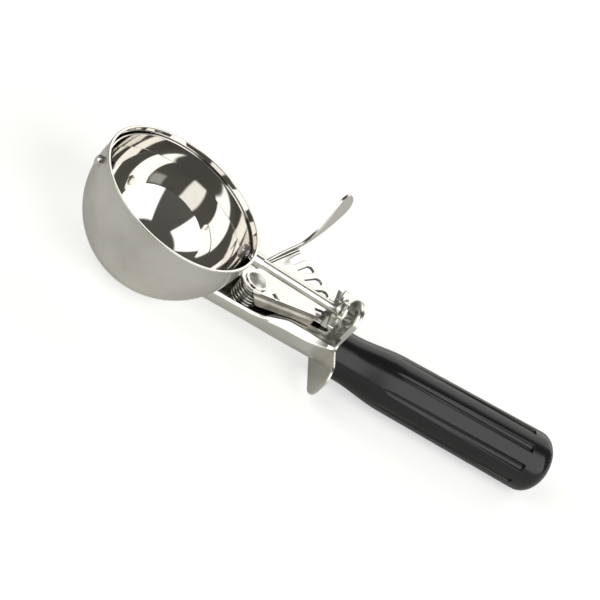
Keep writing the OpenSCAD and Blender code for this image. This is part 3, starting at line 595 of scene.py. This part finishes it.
class Finish:
    """A node tree under construction. node() adds any node: its settings are set first, then its inputs by name or
    index."""

    def __init__(self, tree):
        self.tree = tree
        tree.nodes.clear()

    def node(self, kind, settings=None, inputs=None, output=0):
        node = self.tree.nodes.new(kind)
        for key, value in (settings or {}).items():
            setattr(node, key, value)
        for key, value in (inputs or {}).items():
            connect(self.tree, node.inputs[key], value)
        return Value(self.tree, node.outputs[output]) if node.outputs else None

    def where(self, centre=(0, 0, 0)):
        """Object coordinates, with a piece's own centre moved to the origin."""
        place = self.node("ShaderNodeTexCoord", output="Object")
        back = [-float(c) for c in centre]
        return self.node("ShaderNodeMapping", {"vector_type": "POINT"}, {"Vector": place, "Location": back})

    def noise(self, place, scale, detail=3.0, rough=0.5):
        """Noise of one scale, or of three numbers, which stretch it along the axes."""
        if isinstance(scale, tuple):
            place = self.node("ShaderNodeVectorMath", {"operation": "MULTIPLY"}, {0: place, 1: scale})
            scale = 1.0
        inputs = {"Vector": place, "Scale": scale, "Detail": detail, "Roughness": rough}
        return self.node("ShaderNodeTexNoise", inputs=inputs)

    def ramp(self, value, low, high, out_low=0.0, out_high=1.0):
        """A value between low and high, turned with level ends into one between out_low and out_high."""
        return self.node("ShaderNodeMapRange", {"interpolation_type": "SMOOTHSTEP", "clamp": True},
                         {"Value": value, "From Min": low, "From Max": high, "To Min": out_low, "To Max": out_high})

    def blend(self, mask, one, two):
        """Colour one where the mask is 0 and colour two where it is 1."""
        one, two = (v if isinstance(v, Value) else (*tuple(v)[:3], 1.0) for v in (one, two))
        return self.node("ShaderNodeMix", {"data_type": "RGBA"}, {0: mask, 6: one, 7: two}, output=2)

    def bump(self, height, distance, strength):
        inputs = {"Height": height, "Distance": distance, "Strength": strength}
        return self.node("ShaderNodeBump", inputs=inputs)

    def surface(self, sockets):
        """The Principled shader and the output."""
        shader = self.node("ShaderNodeBsdfPrincipled", inputs=sockets)
        self.node("ShaderNodeOutputMaterial", inputs={"Surface": shader})


def new_finish(name):
    """A new material, and its empty tree."""
    material = bpy.data.materials.new(name)
    material.use_nodes = True
    return material, Finish(material.node_tree)


def finish(recipe):
    """Makes a material maker of a recipe. The recipe adds its nodes to the new material's tree, reading the place on
    the piece, and gives the inputs of the Principled shader."""
    def make(name, *values, centre=(0, 0, 0)):
        material, f = new_finish(name)
        f.surface(recipe(f, f.where(centre), *values))
        return material
    return make


@finish
def polished_steel(f, place, colours, roughness):
    """Mirror polish: faint swirl marks and finger smudges in the roughness, and a very slight waviness from spinning
    and buffing."""
    smudge = f.ramp(f.noise(place, 60, 4, 0.6), 0.45, 0.75)
    specks = f.ramp(f.noise(place, 900, 2, 0.5), 0.62, 0.8)
    streak = f.noise(place, (60, 60, 900))
    wave = f.noise(place, 90, 1)
    return {
        "Base Color": f.blend(smudge * 0.35 + specks * 0.1, colours.steel, colours.steel_shade), "Metallic": 1.0,
        "Roughness": smudge * 0.035 + specks * 0.03 + streak * 0.02 + (roughness - 0.01),
        "Normal": f.bump(wave * 0.6 + streak * 0.02, 0.00012, 0.25),
    }


@finish
def satin_steel(f, place, colours, roughness, along=(900, 40, 40)):
    """Brushed sheet: short parallel grain stretched along one direction, in the roughness, the tone and a fine
    bump."""
    grain = f.noise(place, along, 5, 0.65)
    cloud = f.noise(place, 70, 4, 0.6)
    pits = f.ramp(f.noise(place, 1500, 2), 0.66, 0.8)
    shade = f.ramp(cloud, 0.35, 0.7) * 0.6 + grain * 0.25
    return {
        "Base Color": f.blend(shade, colours.satin, colours.satin_shade), "Metallic": 1.0,
        "Roughness": grain * 0.14 + cloud * 0.08 + pits * 0.1 + (roughness - 0.11),
        "Normal": f.bump(grain * 0.5 + cloud * 0.2 - pits * 0.3, 0.00005, 0.35),
    }


@finish
def dull_steel_and_shade(f, place, colours, light=1.0):
    """The unpolished back of the sheet: a dull mill finish, darker in clouds, with rolling lines. Its base colour is
    much darker than the polished and brushed steel: partly the duller finish, partly painted shade of the faces it
    covers.
    """
    cloud = f.noise(place, 160, 4, 0.6)
    lines = f.noise(place, (60, 900, 900), 4, 0.6)
    dull_and_shade = np.array(colours.dull_and_shade) * light
    return {
        # Base colour: dull tone, partly unpolished finish and partly painted shade, darker still in random clouds.
        "Base Color": f.blend(f.ramp(cloud, 0.3, 0.7) * 0.7 + lines * 0.2, dull_and_shade, dull_and_shade * 0.55), "Metallic": 1.0,
        "Roughness": lines * 0.12 + cloud * 0.1 + 0.3, "Normal": f.bump(lines, 0.00005, 0.4),
    }


@finish
def dark_steel(f, place, colours, roughness=0.3):
    """Cut and tumbled steel of the small parts: cast grain, darker hollows and brighter rubbed spots."""
    grain = f.noise(place, 1400, 4, 0.6)
    cloud = f.noise(place, 260, 3, 0.55)
    rub = f.ramp(cloud, 0.5, 0.7)
    return {
        "Base Color": f.blend(rub, colours.dark_steel, colours.satin), "Metallic": 1.0,
        "Roughness": grain * 0.16 + (1 - rub) * 0.12 + (roughness - 0.1),
        "Normal": f.bump(grain + cloud, 0.00006, 0.4),
    }


@finish
def spring_steel(f, place, colours):
    """Drawn wire: bright along its length with fine die lines and a faint oil film in the hollows."""
    lines = f.noise(place, (200, 200, 2500))
    film = f.ramp(f.noise(place, 350), 0.45, 0.7)
    return {
        "Base Color": f.blend(film * 0.6 + lines * 0.2, colours.satin, colours.dark_steel), "Metallic": 1.0,
        "Roughness": lines * 0.1 + film * 0.1 + 0.14, "Normal": f.bump(lines, 0.00003, 0.3),
    }


@finish
def black_plastic(f, place, colours):
    """Moulded black grip: a fine orange-peel skin, faint flow marks along the handle and pale rub marks."""
    peel = f.noise(place, 900)
    flow = f.noise(place, (25, 260, 260), 4, 0.6)
    rub = f.ramp(f.noise(place, 120, 5, 0.65), 0.56, 0.75)
    return {
        "Base Color": f.blend(rub * 0.5 + flow * 0.2, colours.grip, colours.grip_rub),
        "Roughness": rub * 0.1 + peel * 0.05 + flow * 0.05 + 0.15,
        "Normal": f.bump(peel * 0.3 + flow * 0.5, 0.00003, 0.2), "Specular IOR Level": 0.5,
    }


# ----- Sizes and colours that a user would change
def length(name, text, millimetres):
    return bpy.props.FloatProperty(name=name, description=text, default=millimetres * MM, min=0, precision=5,
                                   unit="LENGTH")


def tint(name, text, value):
    return bpy.props.FloatVectorProperty(name=name, description=text, default=value, size=3, min=0, max=1,
                                         subtype="COLOR")


def count(name, text, value, low, high):
    return bpy.props.IntProperty(name=name, description=text, default=value, min=low, max=high)


class ScoopBowl(bpy.types.PropertyGroup):
    radius: length("Bowl radius", "Outside radius of the half ball", 35)
    wall: length("Wall", "Thickness of the bowl's sheet", 0.9)
    lip: length("Lip", "Height of the straight wall above the half ball", 6.4)
    band: length("Rim band", "Height of the band round the mouth", 1.5)
    band_out: length("Band step", "How far the band stands out from the wall", 0.3)


class ScoopScraper(bpy.types.PropertyGroup):
    blade: length("Blade thickness", "Thickness of the scraper blade", 0.7)
    gap: length("Blade gap", "Gap between the blade and the bowl", 0.3)
    half_w: length("Blade half width", "Half width of the blade at the middle of its arc", 4.2)
    end_half_w: length("Blade end half width", "Half width of the blade next to its eyes", 2.7)
    eye: length("Eye radius", "Radius of the round eyes at the blade's ends", 3.4)


class ScoopLever(bpy.types.PropertyGroup):
    sheet: length("Sheet", "Thickness of the lever's sheet", 1.2)
    hub: length("Hub radius", "Radius of the lever's round hub", 7.2)
    fingers: count("Fingers", "Number of rack fingers", 6, 1, 6)
    finger_w: length("Finger width", "Width of a rack finger", 3)
    finger_tip: length("Finger reach", "Radius over the finger tips", 38.6)
    slot_root: length("Slot root", "Radius of the bottom of the slots", 27.6)
    bend: length("Bend", "Inside radius of the bent edges", 0.8)
    near_drop: length("Near flange", "Depth of the near flange beside the hub", 4.1)
    near_end: length("Near flange end", "Depth of the near flange at the first finger", 2.7)
    far_edge: length("Far edge", "Distance from the pivot to the far edge's bend", 5)
    far_rise: length("Far flange", "Height of the far flange at its outer end", 2.4)
    pitch: bpy.props.FloatProperty(name="Pitch", description="Degrees between two fingers", default=10.2)
    pad_w: length("Pad width", "Width of the thumb pad", 13.3)
    pad_rise: length("Pad height", "Height of the thumb pad's tip above the plate", 19)
    pad_reach: length("Pad reach", "Distance of the thumb pad's tip from the pivot", 66.3)


class ScoopSmallParts(bpy.types.PropertyGroup):
    teeth: count("Pinion teeth", "Number of pinion teeth", 8, 3, 16)
    tooth_tip: length("Pinion reach", "Radius over the pinion's teeth", 8.5)
    hub: length("Pinion hub", "Radius of the pinion's hub", 3.7)
    flange: length("Pinion flange", "Radius of the round flange behind the teeth", 6.2)
    wire: length("Wire", "Radius of the spring's wire", 0.62)
    coil: length("Coil", "Mean radius of the spring's coil", 5)
    coil_pitch: length("Coil pitch", "Rise of the coil in one turn", 1.5)


class ScoopShank(bpy.types.PropertyGroup):
    width: length("Shank width", "Width of the shank's channel", 18.6)
    low: length("Underside", "Height of the shank's underside above the table", 9.4)
    high: length("Top", "Height of the shank's top above the table", 18)
    sheet: length("Sheet", "Thickness of the shank's and the guard's sheet", 1.2)
    low_bend: length("Lower edges", "Outside radius of the lower edges", 4)
    roll: length("Rolled edges", "Outside radius of the rolled-in upper edges", 3)
    slot: length("Slot", "Half width of the slot where it ends", 2.3)
    ear: length("Ear", "Half width of the ear that carries the rod", 7.9)
    fin_reach: length("Finger guard", "Reach of the finger guard from the handle's axis", 24)
    fin: length("Finger guard half width", "Half width of the finger guard", 8.4)


class ScoopHandle(bpy.types.PropertyGroup):
    length: length("Handle length", "Length of the handle", 109)
    neck: length("Neck radius", "Radius of the handle's neck", 10)
    flare: length("Flare radius", "Radius where the neck's curve ends", 12.1)
    radius: length("Grip radius", "Largest radius of the handle", 13.1)
    flutes: count("Flutes", "Number of flutes round the grip", 9, 3, 12)
    depth: length("Flute depth", "Depth of a flute where the grip is thickest", 1.3)


class ScoopColours(bpy.types.PropertyGroup):
    steel: tint("Polished steel", "Mirror-polished steel", (0.80, 0.785, 0.755))
    steel_shade: tint("Smudged steel", "Polished steel under smudges", (0.68, 0.66, 0.62))
    satin: tint("Satin steel", "Brushed steel sheet", (0.82, 0.815, 0.77))
    satin_shade: tint("Satin shade", "Darker clouds in the brushed sheet", (0.70, 0.69, 0.645))
    # Dark steel tone of the shank's inside and the lever's near flange: partly their unpolished finish, partly painted
    # shade.
    dull_and_shade: tint("Dull steel", "Unpolished inside of the shank", (0.34, 0.325, 0.285))
    dark_steel: tint("Small parts", "Cut steel of pinion, clip and spring", (0.33, 0.325, 0.31))
    grip: tint("Grip", "Black moulded grip", (0.0095, 0.010, 0.0115))
    grip_rub: tint("Rubbed grip", "Rub marks on the grip", (0.021, 0.0225, 0.026))
    floor: tint("Floor", "Plain pale floor", (0.88, 0.875, 0.845))


# ----- Operators
# The floor's half width, how far it lies under the part, and its even glow, which only the camera sees.
FLOOR_REACH, FLOOR_DROP, FLOOR_GLOW = 4.0, 0.2 * MM, 0.55
# The camera's lens in mm on a 36 mm sensor, its two directions, and its place from the bowl's centre.
CAMERA_LENS = 158.64
CAMERA_RIGHT, CAMERA_BACK = np.array([0.8176, 0.0357, 0.5747]), np.array([-0.3418, -0.7732, 0.5342])
CAMERA_OFF = np.array([-0.28708, -0.79347, 0.53983])
# Soft panels of the studio: compass angle of the middle (0 toward -Y, 90 toward +X), half width, lower edge, upper
# edge, softness, all in degrees, then strength and colour.
PANELS = [
    (-73, 25, 4, 57, 4, 1.8, (1.0, 0.99, 0.965)),
    (40, 32, 4, 62, 5, 1.8, (1.0, 0.99, 0.965)),
    (146, 24, 4, 57, 8, 1.35, (1.0, 0.985, 0.95)),
    (-118, 16, 4, 27, 8, 0.5, (1.0, 0.99, 0.97)),
]


class SCOOP_OT_stage(bpy.types.Operator):
    """Sets the pale floor, the soft light and the camera"""
    bl_idname = "scoop.stage"
    bl_label = "Stage, light and camera"

    def execute(self, context):
        scene, colours = context.scene, context.scene.scoop_colours
        floor = bpy.data.meshes.new("floor")
        corners = [(x * FLOOR_REACH, y * FLOOR_REACH, 0) for x, y in ((-1, -1), (1, -1), (1, 1), (-1, 1))]
        floor.from_pydata(corners, [], [(0, 1, 2, 3)])
        floor_piece = bpy.data.objects.new("floor", floor)
        floor_piece.location.z = -FLOOR_DROP
        scene.collection.objects.link(floor_piece)
        material, f = new_finish("floor_paper")
        tone = f.blend(f.noise(f.where(), 3, 2), colours.floor, np.array(colours.floor) * 0.98)
        diffuse = f.node("ShaderNodeBsdfDiffuse", inputs={"Color": tone})
        seen = f.node("ShaderNodeLightPath", output="Is Camera Ray")
        glow = f.node("ShaderNodeEmission", inputs={"Color": (0.98, 0.99, 1, 1), "Strength": seen * FLOOR_GLOW})
        both = f.node("ShaderNodeAddShader", inputs={0: diffuse, 1: glow})
        f.node("ShaderNodeOutputMaterial", inputs={"Surface": both})
        floor.materials.append(material)

        camera = bpy.data.cameras.new("camera")
        camera.sensor_width, camera.lens = 36, CAMERA_LENS
        camera.clip_start, camera.clip_end = 0.05, 20
        eye = bpy.data.objects.new("camera", camera)
        back = unit(CAMERA_BACK)
        right = unit(CAMERA_RIGHT - np.dot(CAMERA_RIGHT, back) * back)
        columns = np.column_stack([right, np.cross(back, right), back, BOWL_CENTRE + CAMERA_OFF])
        eye.matrix_world = Matrix(columns.tolist() + [[0, 0, 0, 1]])
        scene.collection.objects.link(eye)
        scene.camera = eye
        scene.view_settings.view_transform = "Standard"

        world = bpy.data.worlds.new("studio")
        world.use_nodes = True
        scene.world = world
        studio_light(Finish(world.node_tree))
        return {"FINISHED"}


def studio_light(f):
    """A white room for the camera. Everything else sees a dim warm room with soft panels, each a smooth patch of
    directions: compass angle = atan2(x, -y) and height angle = asin(z) of the heading."""
    heading = f.node("ShaderNodeTexCoord", output="Generated")
    view = f.node("ShaderNodeLightPath", output="Is Camera Ray")
    x, y, z = (f.node("ShaderNodeSeparateXYZ", inputs={0: heading}, output=axis) for axis in "XYZ")
    compass = x.math("ARCTAN2", y * -1) * (180 / np.pi)
    height = z.math("ARCSINE") * (180 / np.pi)
    light = f.blend(f.ramp(height, 10, 80), (0.112, 0.109, 0.098), (0.092, 0.090, 0.082))
    for middle, half, low, high, soft, strength, colour in PANELS:
        soft = soft / 2
        across = f.ramp((compass - middle).math("ABSOLUTE"), half - soft, half + soft, 1, 0)
        up = f.ramp(height, low - soft, low + soft) * f.ramp(height, high - soft, high + soft, 1, 0)
        light = f.blend(across * up, light, [strength * c for c in colour])
    room = f.node("ShaderNodeBackground", inputs={"Color": light})
    white = f.node("ShaderNodeBackground", inputs={"Color": (1, 1, 1, 1)})
    mixed = f.node("ShaderNodeMixShader", inputs={0: view, 1: room, 2: white})
    f.node("ShaderNodeOutputWorld", inputs={"Surface": mixed})


class SCOOP_OT_bowl(bpy.types.Operator):
    """Makes the spun bowl, polished inside and satin outside"""
    bl_idname = "scoop.bowl"
    bl_label = "Bowl"

    def execute(self, context):
        s, colours = context.scene.scoop_bowl, context.scene.scoop_colours
        inside, out, rim, edge = s.radius - s.wall, s.radius + s.band_out, s.lip, 0.25 * MM
        quarter = polar(1.0, np.linspace(-90, 0, 73))[:, ::-1]
        step = np.array([(rim - s.band, radius) for radius in (s.radius, s.radius, out, out)])
        step += np.array([(-0.15, 0), (0, 0.05), (0.05, -0.08), (0.15, 0)]) * MM
        profile = np.concatenate([
            s.radius * quarter, step,
            arc((rim - edge, out - edge), edge, 90, 0, 6), arc((rim - edge, inside + edge), edge, 0, -90, 6),
            inside * quarter[::-1],
        ])
        shape = reordered(turned(profile, 256), [1, 2, 0])
        inner = polished_steel("bowl_mirror", colours, 0.035, centre=BOWL_CENTRE)
        outer = satin_steel("bowl_satin", colours, 0.24, (60, 60, 700))
        piece = stand("bowl_shell", shape, from_bowl, "frame", "polished_stainless", "bowl", outer, inner, angle=60)
        centres, normals = faces_of(piece, BOWL_CENTRE)
        share_out(piece, (centres * normals).sum(-1) < 0)
        return {"FINISHED"}


class SCOOP_OT_scraper(bpy.types.Operator):
    """Makes the curved scraper blade with its two round eyes"""
    bl_idname = "scoop.scraper"
    bl_label = "Scraper blade"

    def execute(self, context):
        s, bowl, colours = context.scene.scoop_scraper, context.scene.scoop_bowl, context.scene.scoop_colours
        outer = bowl.radius - bowl.wall - s.gap
        reach, quarter = np.arcsin(s.eye / outer), np.linspace(0, np.pi / 2, 12)
        right = np.pi / 2
        turn = np.concatenate([-right - reach * np.cos(quarter), np.linspace(-right + 0.01, right - 0.01, 180),
                               right + reach * np.sin(quarter)])
        side = outer * np.cos(turn)
        strip = s.end_half_w + (s.half_w - s.end_half_w) * np.clip(np.cos(turn), 0, 1) ** 0.8
        eye = half_chord(s.eye, side)
        least, edge = 0.25 * MM, 0.22 * MM
        half = np.maximum(np.where(side > 0, np.maximum(strip, eye), eye), least)
        across, through = rounded_box(half, s.blade / 2, edge)
        flat = half_chord(outer - s.blade / 2 + through, across)
        points = np.stack([flat * np.sin(turn)[:, None], flat * np.cos(turn)[:, None], across], -1)
        steel = polished_steel("scraper_mirror", colours, 0.06)
        stand("scraper_strip", capped(points, flat=False), from_bowl, "scraper", "polished_stainless", "scraper_blade",
              steel, angle=50)
        return {"FINISHED"}


class SCOOP_OT_handle(bpy.types.Operator):
    """Makes the fluted black handle"""
    bl_idname = "scoop.handle"
    bl_label = "Handle"

    def execute(self, context):
        s, colours = context.scene.scoop_handle, context.scene.scoop_colours
        front, dome, tip_r, per_flute = HANDLE_X, 8.5 * MM, 1.5 * MM, 48
        end = front + s.length
        neck_end, flare_end, grip_end, flute_end = front + 9 * MM, front + 33 * MM, end - dome, end - dome - 5 * MM
        x = np.concatenate([
            [front, front + 0.05 * MM], np.linspace(front, neck_end, 8)[1:-1],
            np.linspace(neck_end, flare_end, 40)[:-1], np.linspace(flare_end, flute_end - 0.35 * MM, 70),
            np.linspace(flute_end - 0.3 * MM, flute_end + 0.1 * MM, 8),
            np.linspace(flute_end + 0.3 * MM, grip_end, 6)[:-1],
        ])
        grow = s.neck + (s.flare - s.neck) * ease((x - neck_end) / (flare_end - neck_end))
        body = grow + np.where(x > flare_end, (s.radius - s.flare) * (x - flare_end) / (grip_end - flare_end), 0)
        round_end = np.linspace(np.pi / 2, 0, 22)
        x = np.concatenate([x, grip_end + dome * np.cos(round_end)])[:, None]
        body = np.concatenate([body, tip_r + (s.radius - tip_r) * np.sin(round_end)])[:, None]
        # The flutes are cut by a round tool: its axis runs along the grip, at the distance axis from the middle.
        a = np.linspace(0, 2 * np.pi, s.flutes * per_flute, endpoint=False)
        off = (a + np.pi / s.flutes) % (2 * np.pi / s.flutes) - np.pi / s.flutes
        tool, axis = 1.8 * MM, s.radius - s.depth + 1.8 * MM
        cut = axis * np.cos(off) - half_chord(tool, axis * np.sin(off))
        cut = np.where(np.abs(axis * np.sin(off)) < tool, cut, 1.0)
        floor = cut + ease((x - flute_end + 0.3 * MM) / (0.4 * MM)) * 3 * MM
        # The smaller of body and floor, with a soft edge between them.
        soft, gap = 0.12 * MM, floor - body
        radius = body + 0.5 * (gap - np.sqrt(gap ** 2 + soft ** 2)) + soft * 0.02
        radius = np.where(gap > 1.5 * MM, body, radius)
        radius[0] -= 0.25 * MM
        lead = a + np.radians(FIRST_FLUTE)
        z = radius * np.sin(lead) + AXIS_Z
        x = x + part(x, neck_end, front) * (guard_plane(z, 1.2 * MM) - front)
        points = np.stack([x, radius * np.cos(lead), z], -1)
        stand("fluted_handle", capped(points, flat=False), from_work, "frame", "black_handle", "handle",
              black_plastic("moulded_grip", colours), angle=70)
        return {"FINISHED"}


class SCOOP_OT_lever(bpy.types.Operator):
    """Makes the toothed thumb lever: a flat plate, two bent edges and a twisted thumb tab"""
    bl_idname = "scoop.lever"
    bl_label = "Thumb lever"

    def execute(self, context):
        s, colours = context.scene.scoop_lever, context.scene.scoop_colours
        stamped = 0.4 * MM
        sheet = plate(lever_outlines(s, SPRING_LEG - 90, stamped), -s.sheet / 2, s.sheet / 2, 0.3 * MM, stamped, 8)
        shape = join(sheet, near_flange(s), far_flange(s), thumb_tab(s))
        piece = stand("rack_lever", shape, from_pivot, "lever", "polished_stainless", "thumb_lever",
                      polished_steel("lever_polish", colours, 0.17), dull_steel_and_shade("lever_flange", colours, 1.5),
                      dark_steel("lever_cut", colours, 0.4), angle=50)
        # The near flange gets the dull steel, made 1.5 times lighter: partly a duller finish, partly painted shade on
        # the bent-down face. The walls of the rack's windows are cut edges.
        foot, degrees = near_edge(s)
        centres, normals = faces_of(piece, PIVOT)
        x, y, z = centres.T
        rest, reach = np.stack([x, y], -1) - foot, np.hypot(x, y)
        cut = (np.abs(normals[:, 2]) < 0.75) & (np.abs(z) < s.sheet / 2) & (np.degrees(np.arctan2(y, x)) < WEDGE + 1)
        cut &= (reach > s.slot_root - 1 * MM) & (reach < s.finger_tip - 0.8 * MM)
        bent = (rest @ polar(1.0, degrees - 90) > 0.1 * MM) & (rest @ polar(1.0, degrees) < 0.3 * MM)
        share_out(piece, np.where(bent, 1, np.where(cut, 2, 0)))
        return {"FINISHED"}


class SCOOP_OT_spring(bpy.types.Operator):
    """Makes the return spring on the pivot post"""
    bl_idname = "scoop.spring"
    bl_label = "Return spring"

    def execute(self, context):
        s, colours = context.scene.scoop_small, context.scene.scoop_colours
        stand("return_spring", wire(spring_path(s, SPRING_LEG), s.wire), from_pivot, "frame", "dark_steel",
              "lever_spring", spring_steel("spring_wire", colours))
        return {"FINISHED"}


class SCOOP_OT_pinion(bpy.types.Operator):
    """Makes the pinion, with its flange and boss, on the scraper's rod"""
    bl_idname = "scoop.pinion"
    bl_label = "Pinion"

    def execute(self, context):
        s, lever, colours = context.scene.scoop_small, context.scene.scoop_lever, context.scene.scoop_colours
        phase = (FIRST_FINGER + lever.pitch / 2) * 360 / s.teeth / lever.pitch
        middle, half, bore, edge = PINION_X / ROD_DIR[0], 1.4 * MM, 2 * MM, 0.25 * MM
        teeth = plate([pinion_outline(s, phase), circle((0, 0), bore)], middle - half, middle + half, 0.22 * MM)
        face = middle + half
        front, back, boss = face - 0.3 * MM, face + 1.1 * MM, face + 1.9 * MM
        rings = turned([(front, bore), (front, s.flange - 1.2 * MM), (face, s.flange - edge), (face + edge, s.flange),
                        (back - edge, s.flange), (back, s.flange - edge), (back, s.hub), (boss - edge, s.hub),
                        (boss, s.hub - edge), (boss, bore)], 96, closed=True)
        stand("toothed_pinion", join(reordered(teeth, [2, 0, 1]), rings), from_bowl, "scraper", "dark_steel",
              "pinion", satin_steel("cut_steel", colours, 0.2, (900, 200, 200)), angle=35)
        return {"FINISHED"}


class SCOOP_OT_guard(bpy.types.Operator):
    """Makes the guard plate: finger guard and bordered ear in one sheet"""
    bl_idname = "scoop.guard"
    bl_label = "Guard plate"

    def execute(self, context):
        s, colours = context.scene.scoop_shank, context.scene.scoop_colours
        holes = [circle((0, z), 3 * MM) for z in (ear_height(), 0)]
        sheet = plate([guard_outline(s), *holes], 0, s.sheet, 0.35 * MM)
        stand("guard_sheet", join(reordered(sheet, [2, 0, 1]), ear_border(s)), from_guard, "frame", "satin_stainless",
              "guard_plate", satin_steel("guard_satin", colours, 0.22, (300, 900, 60)), angle=50)
        return {"FINISHED"}


class SCOOP_OT_shank(bpy.types.Operator):
    """Makes the folded shank between the bowl and the guard plate"""
    bl_idname = "scoop.shank"
    bl_label = "Shank"

    def execute(self, context):
        s, ball, colours = context.scene.scoop_shank, context.scene.scoop_bowl.radius, context.scene.scoop_colours
        piece = stand("folded_shank", join(shank_shell(s, ball), tongue(s, ball)), from_work, "frame",
                      "satin_stainless", "shank", satin_steel("shank_satin", colours, 0.2, (40, 500, 900)),
                      dull_steel_and_shade("shank_inside", colours), angle=50)
        # The inward faces behind the bowl get the dull steel: partly the unpolished inside, partly painted shade in the
        # channel.
        centres, normals = faces_of(piece, WORK)
        middle = np.array([0, 0, (s.low + s.high) / 2])
        inward = ((centres - middle) * normals)[:, 1:].sum(-1) < -0.001
        share_out(piece, inward & (centres[:, 0] > ball * 0.75))
        return {"FINISHED"}


class SCOOP_OT_tang(bpy.types.Operator):
    """Makes the tang: a block in the closed end of the shank, and a bar into the handle"""
    bl_idname = "scoop.tang"
    bl_label = "Tang"

    def execute(self, context):
        s, colours = context.scene.scoop_shank, context.scene.scoop_colours
        x, lean_x, lean_run = np.array([78.2, 78.6, 80, 82, 84.1]) * MM, 80 * MM, 4.1 * MM
        y, z, angle = shank_side(s, x)
        inside = 0.64 * MM
        y, z = y - inside * np.sin(angle), z + s.low + s.sheet / 2 + inside * np.cos(angle)
        y, z = np.moveaxis(mirrored(np.stack([y, z], -1)), -1, 0)
        shrink, middle, x = np.array([0.94, 1, 1, 1, 1])[:, None], 14 * MM, x[:, None]
        place = x + np.clip((x - lean_x) / lean_run, 0, 1) * (guard_plane(z) - GUARD_X)
        block = capped(np.stack([place, y * shrink, middle + (z - middle) * shrink], -1))
        depth, radius, edge = 62 * MM, 3 * MM, 0.5 * MM
        start, end = 83 * MM, HANDLE_X + depth
        profile = [(start, 0), (start, radius), (end - edge, radius), (end, radius - edge), (end, 0)]
        bar, *rest = turned(profile, 48)
        stand("handle_tang", join(block, (bar + [0, 0, AXIS_Z], *rest)), from_work, "frame", "dark_steel", "tang",
              dark_steel("tang_steel", colours))
        return {"FINISHED"}


class SCOOP_OT_small_parts(bpy.types.Operator):
    """Gives the turned and pressed small parts their finishes"""
    bl_idname = "scoop.small_parts"
    bl_label = "Small parts"

    def execute(self, context):
        colours = context.scene.scoop_colours
        finishes = [
            (polished_steel("turned_mirror", colours, 0.09), ["far_pin", "upper_washer"]),
            (satin_steel("turned_satin", colours, 0.24),
             ["front_rod_bush", "scraper_rod", "rear_rod_bush", "spacer_sleeve", "lower_washer"]),
            (satin_steel("post_satin", colours, 0.45), ["pivot_post"]),
            (dark_steel("blackened_steel", colours), ["blade_collar", "rod_clip"]),
        ]
        for material, names in finishes:
            for name in names:
                for slot in frame["nodes"][name].material_slots:
                    slot.material = material
        return {"FINISHED"}


class SCOOP_PT_panel(bpy.types.Panel):
    """Sizes, colours and one button for each piece"""
    bl_idname = "SCOOP_PT_panel"
    bl_label = "Ice cream scoop"
    bl_space_type = "VIEW_3D"
    bl_region_type = "UI"
    bl_category = "Scoop"

    def draw(self, context):
        for operator in OPERATORS:
            self.layout.operator(operator.bl_idname)
        for group in GROUPS:
            box = self.layout.box()
            settings = getattr(context.scene, group)
            for key in settings.bl_rna.properties.keys():
                if key not in {"rna_type", "name"}:
                    box.prop(settings, key)


OPERATORS = [
    SCOOP_OT_stage, SCOOP_OT_bowl, SCOOP_OT_scraper, SCOOP_OT_lever, SCOOP_OT_spring, SCOOP_OT_pinion, SCOOP_OT_guard,
    SCOOP_OT_shank, SCOOP_OT_tang, SCOOP_OT_handle, SCOOP_OT_small_parts,
]
GROUPS = {
    "scoop_bowl": ScoopBowl, "scoop_scraper": ScoopScraper, "scoop_lever": ScoopLever, "scoop_small": ScoopSmallParts,
    "scoop_shank": ScoopShank, "scoop_handle": ScoopHandle, "scoop_colours": ScoopColours,
}


def register():
    for group in (*GROUPS.values(), *OPERATORS, SCOOP_PT_panel):
        bpy.utils.register_class(group)
    for name, group in GROUPS.items():
        setattr(bpy.types.Scene, name, bpy.props.PointerProperty(type=group))


def unregister():
    for name in GROUPS:
        delattr(bpy.types.Scene, name)
    for group in reversed((*GROUPS.values(), *OPERATORS, SCOOP_PT_panel)):
        bpy.utils.unregister_class(group)


def main():
    register()
    for operator in OPERATORS:
        module, name = operator.bl_idname.split(".")
        getattr(getattr(bpy.ops, module), name)()


if __name__ == "__main__":
    main()
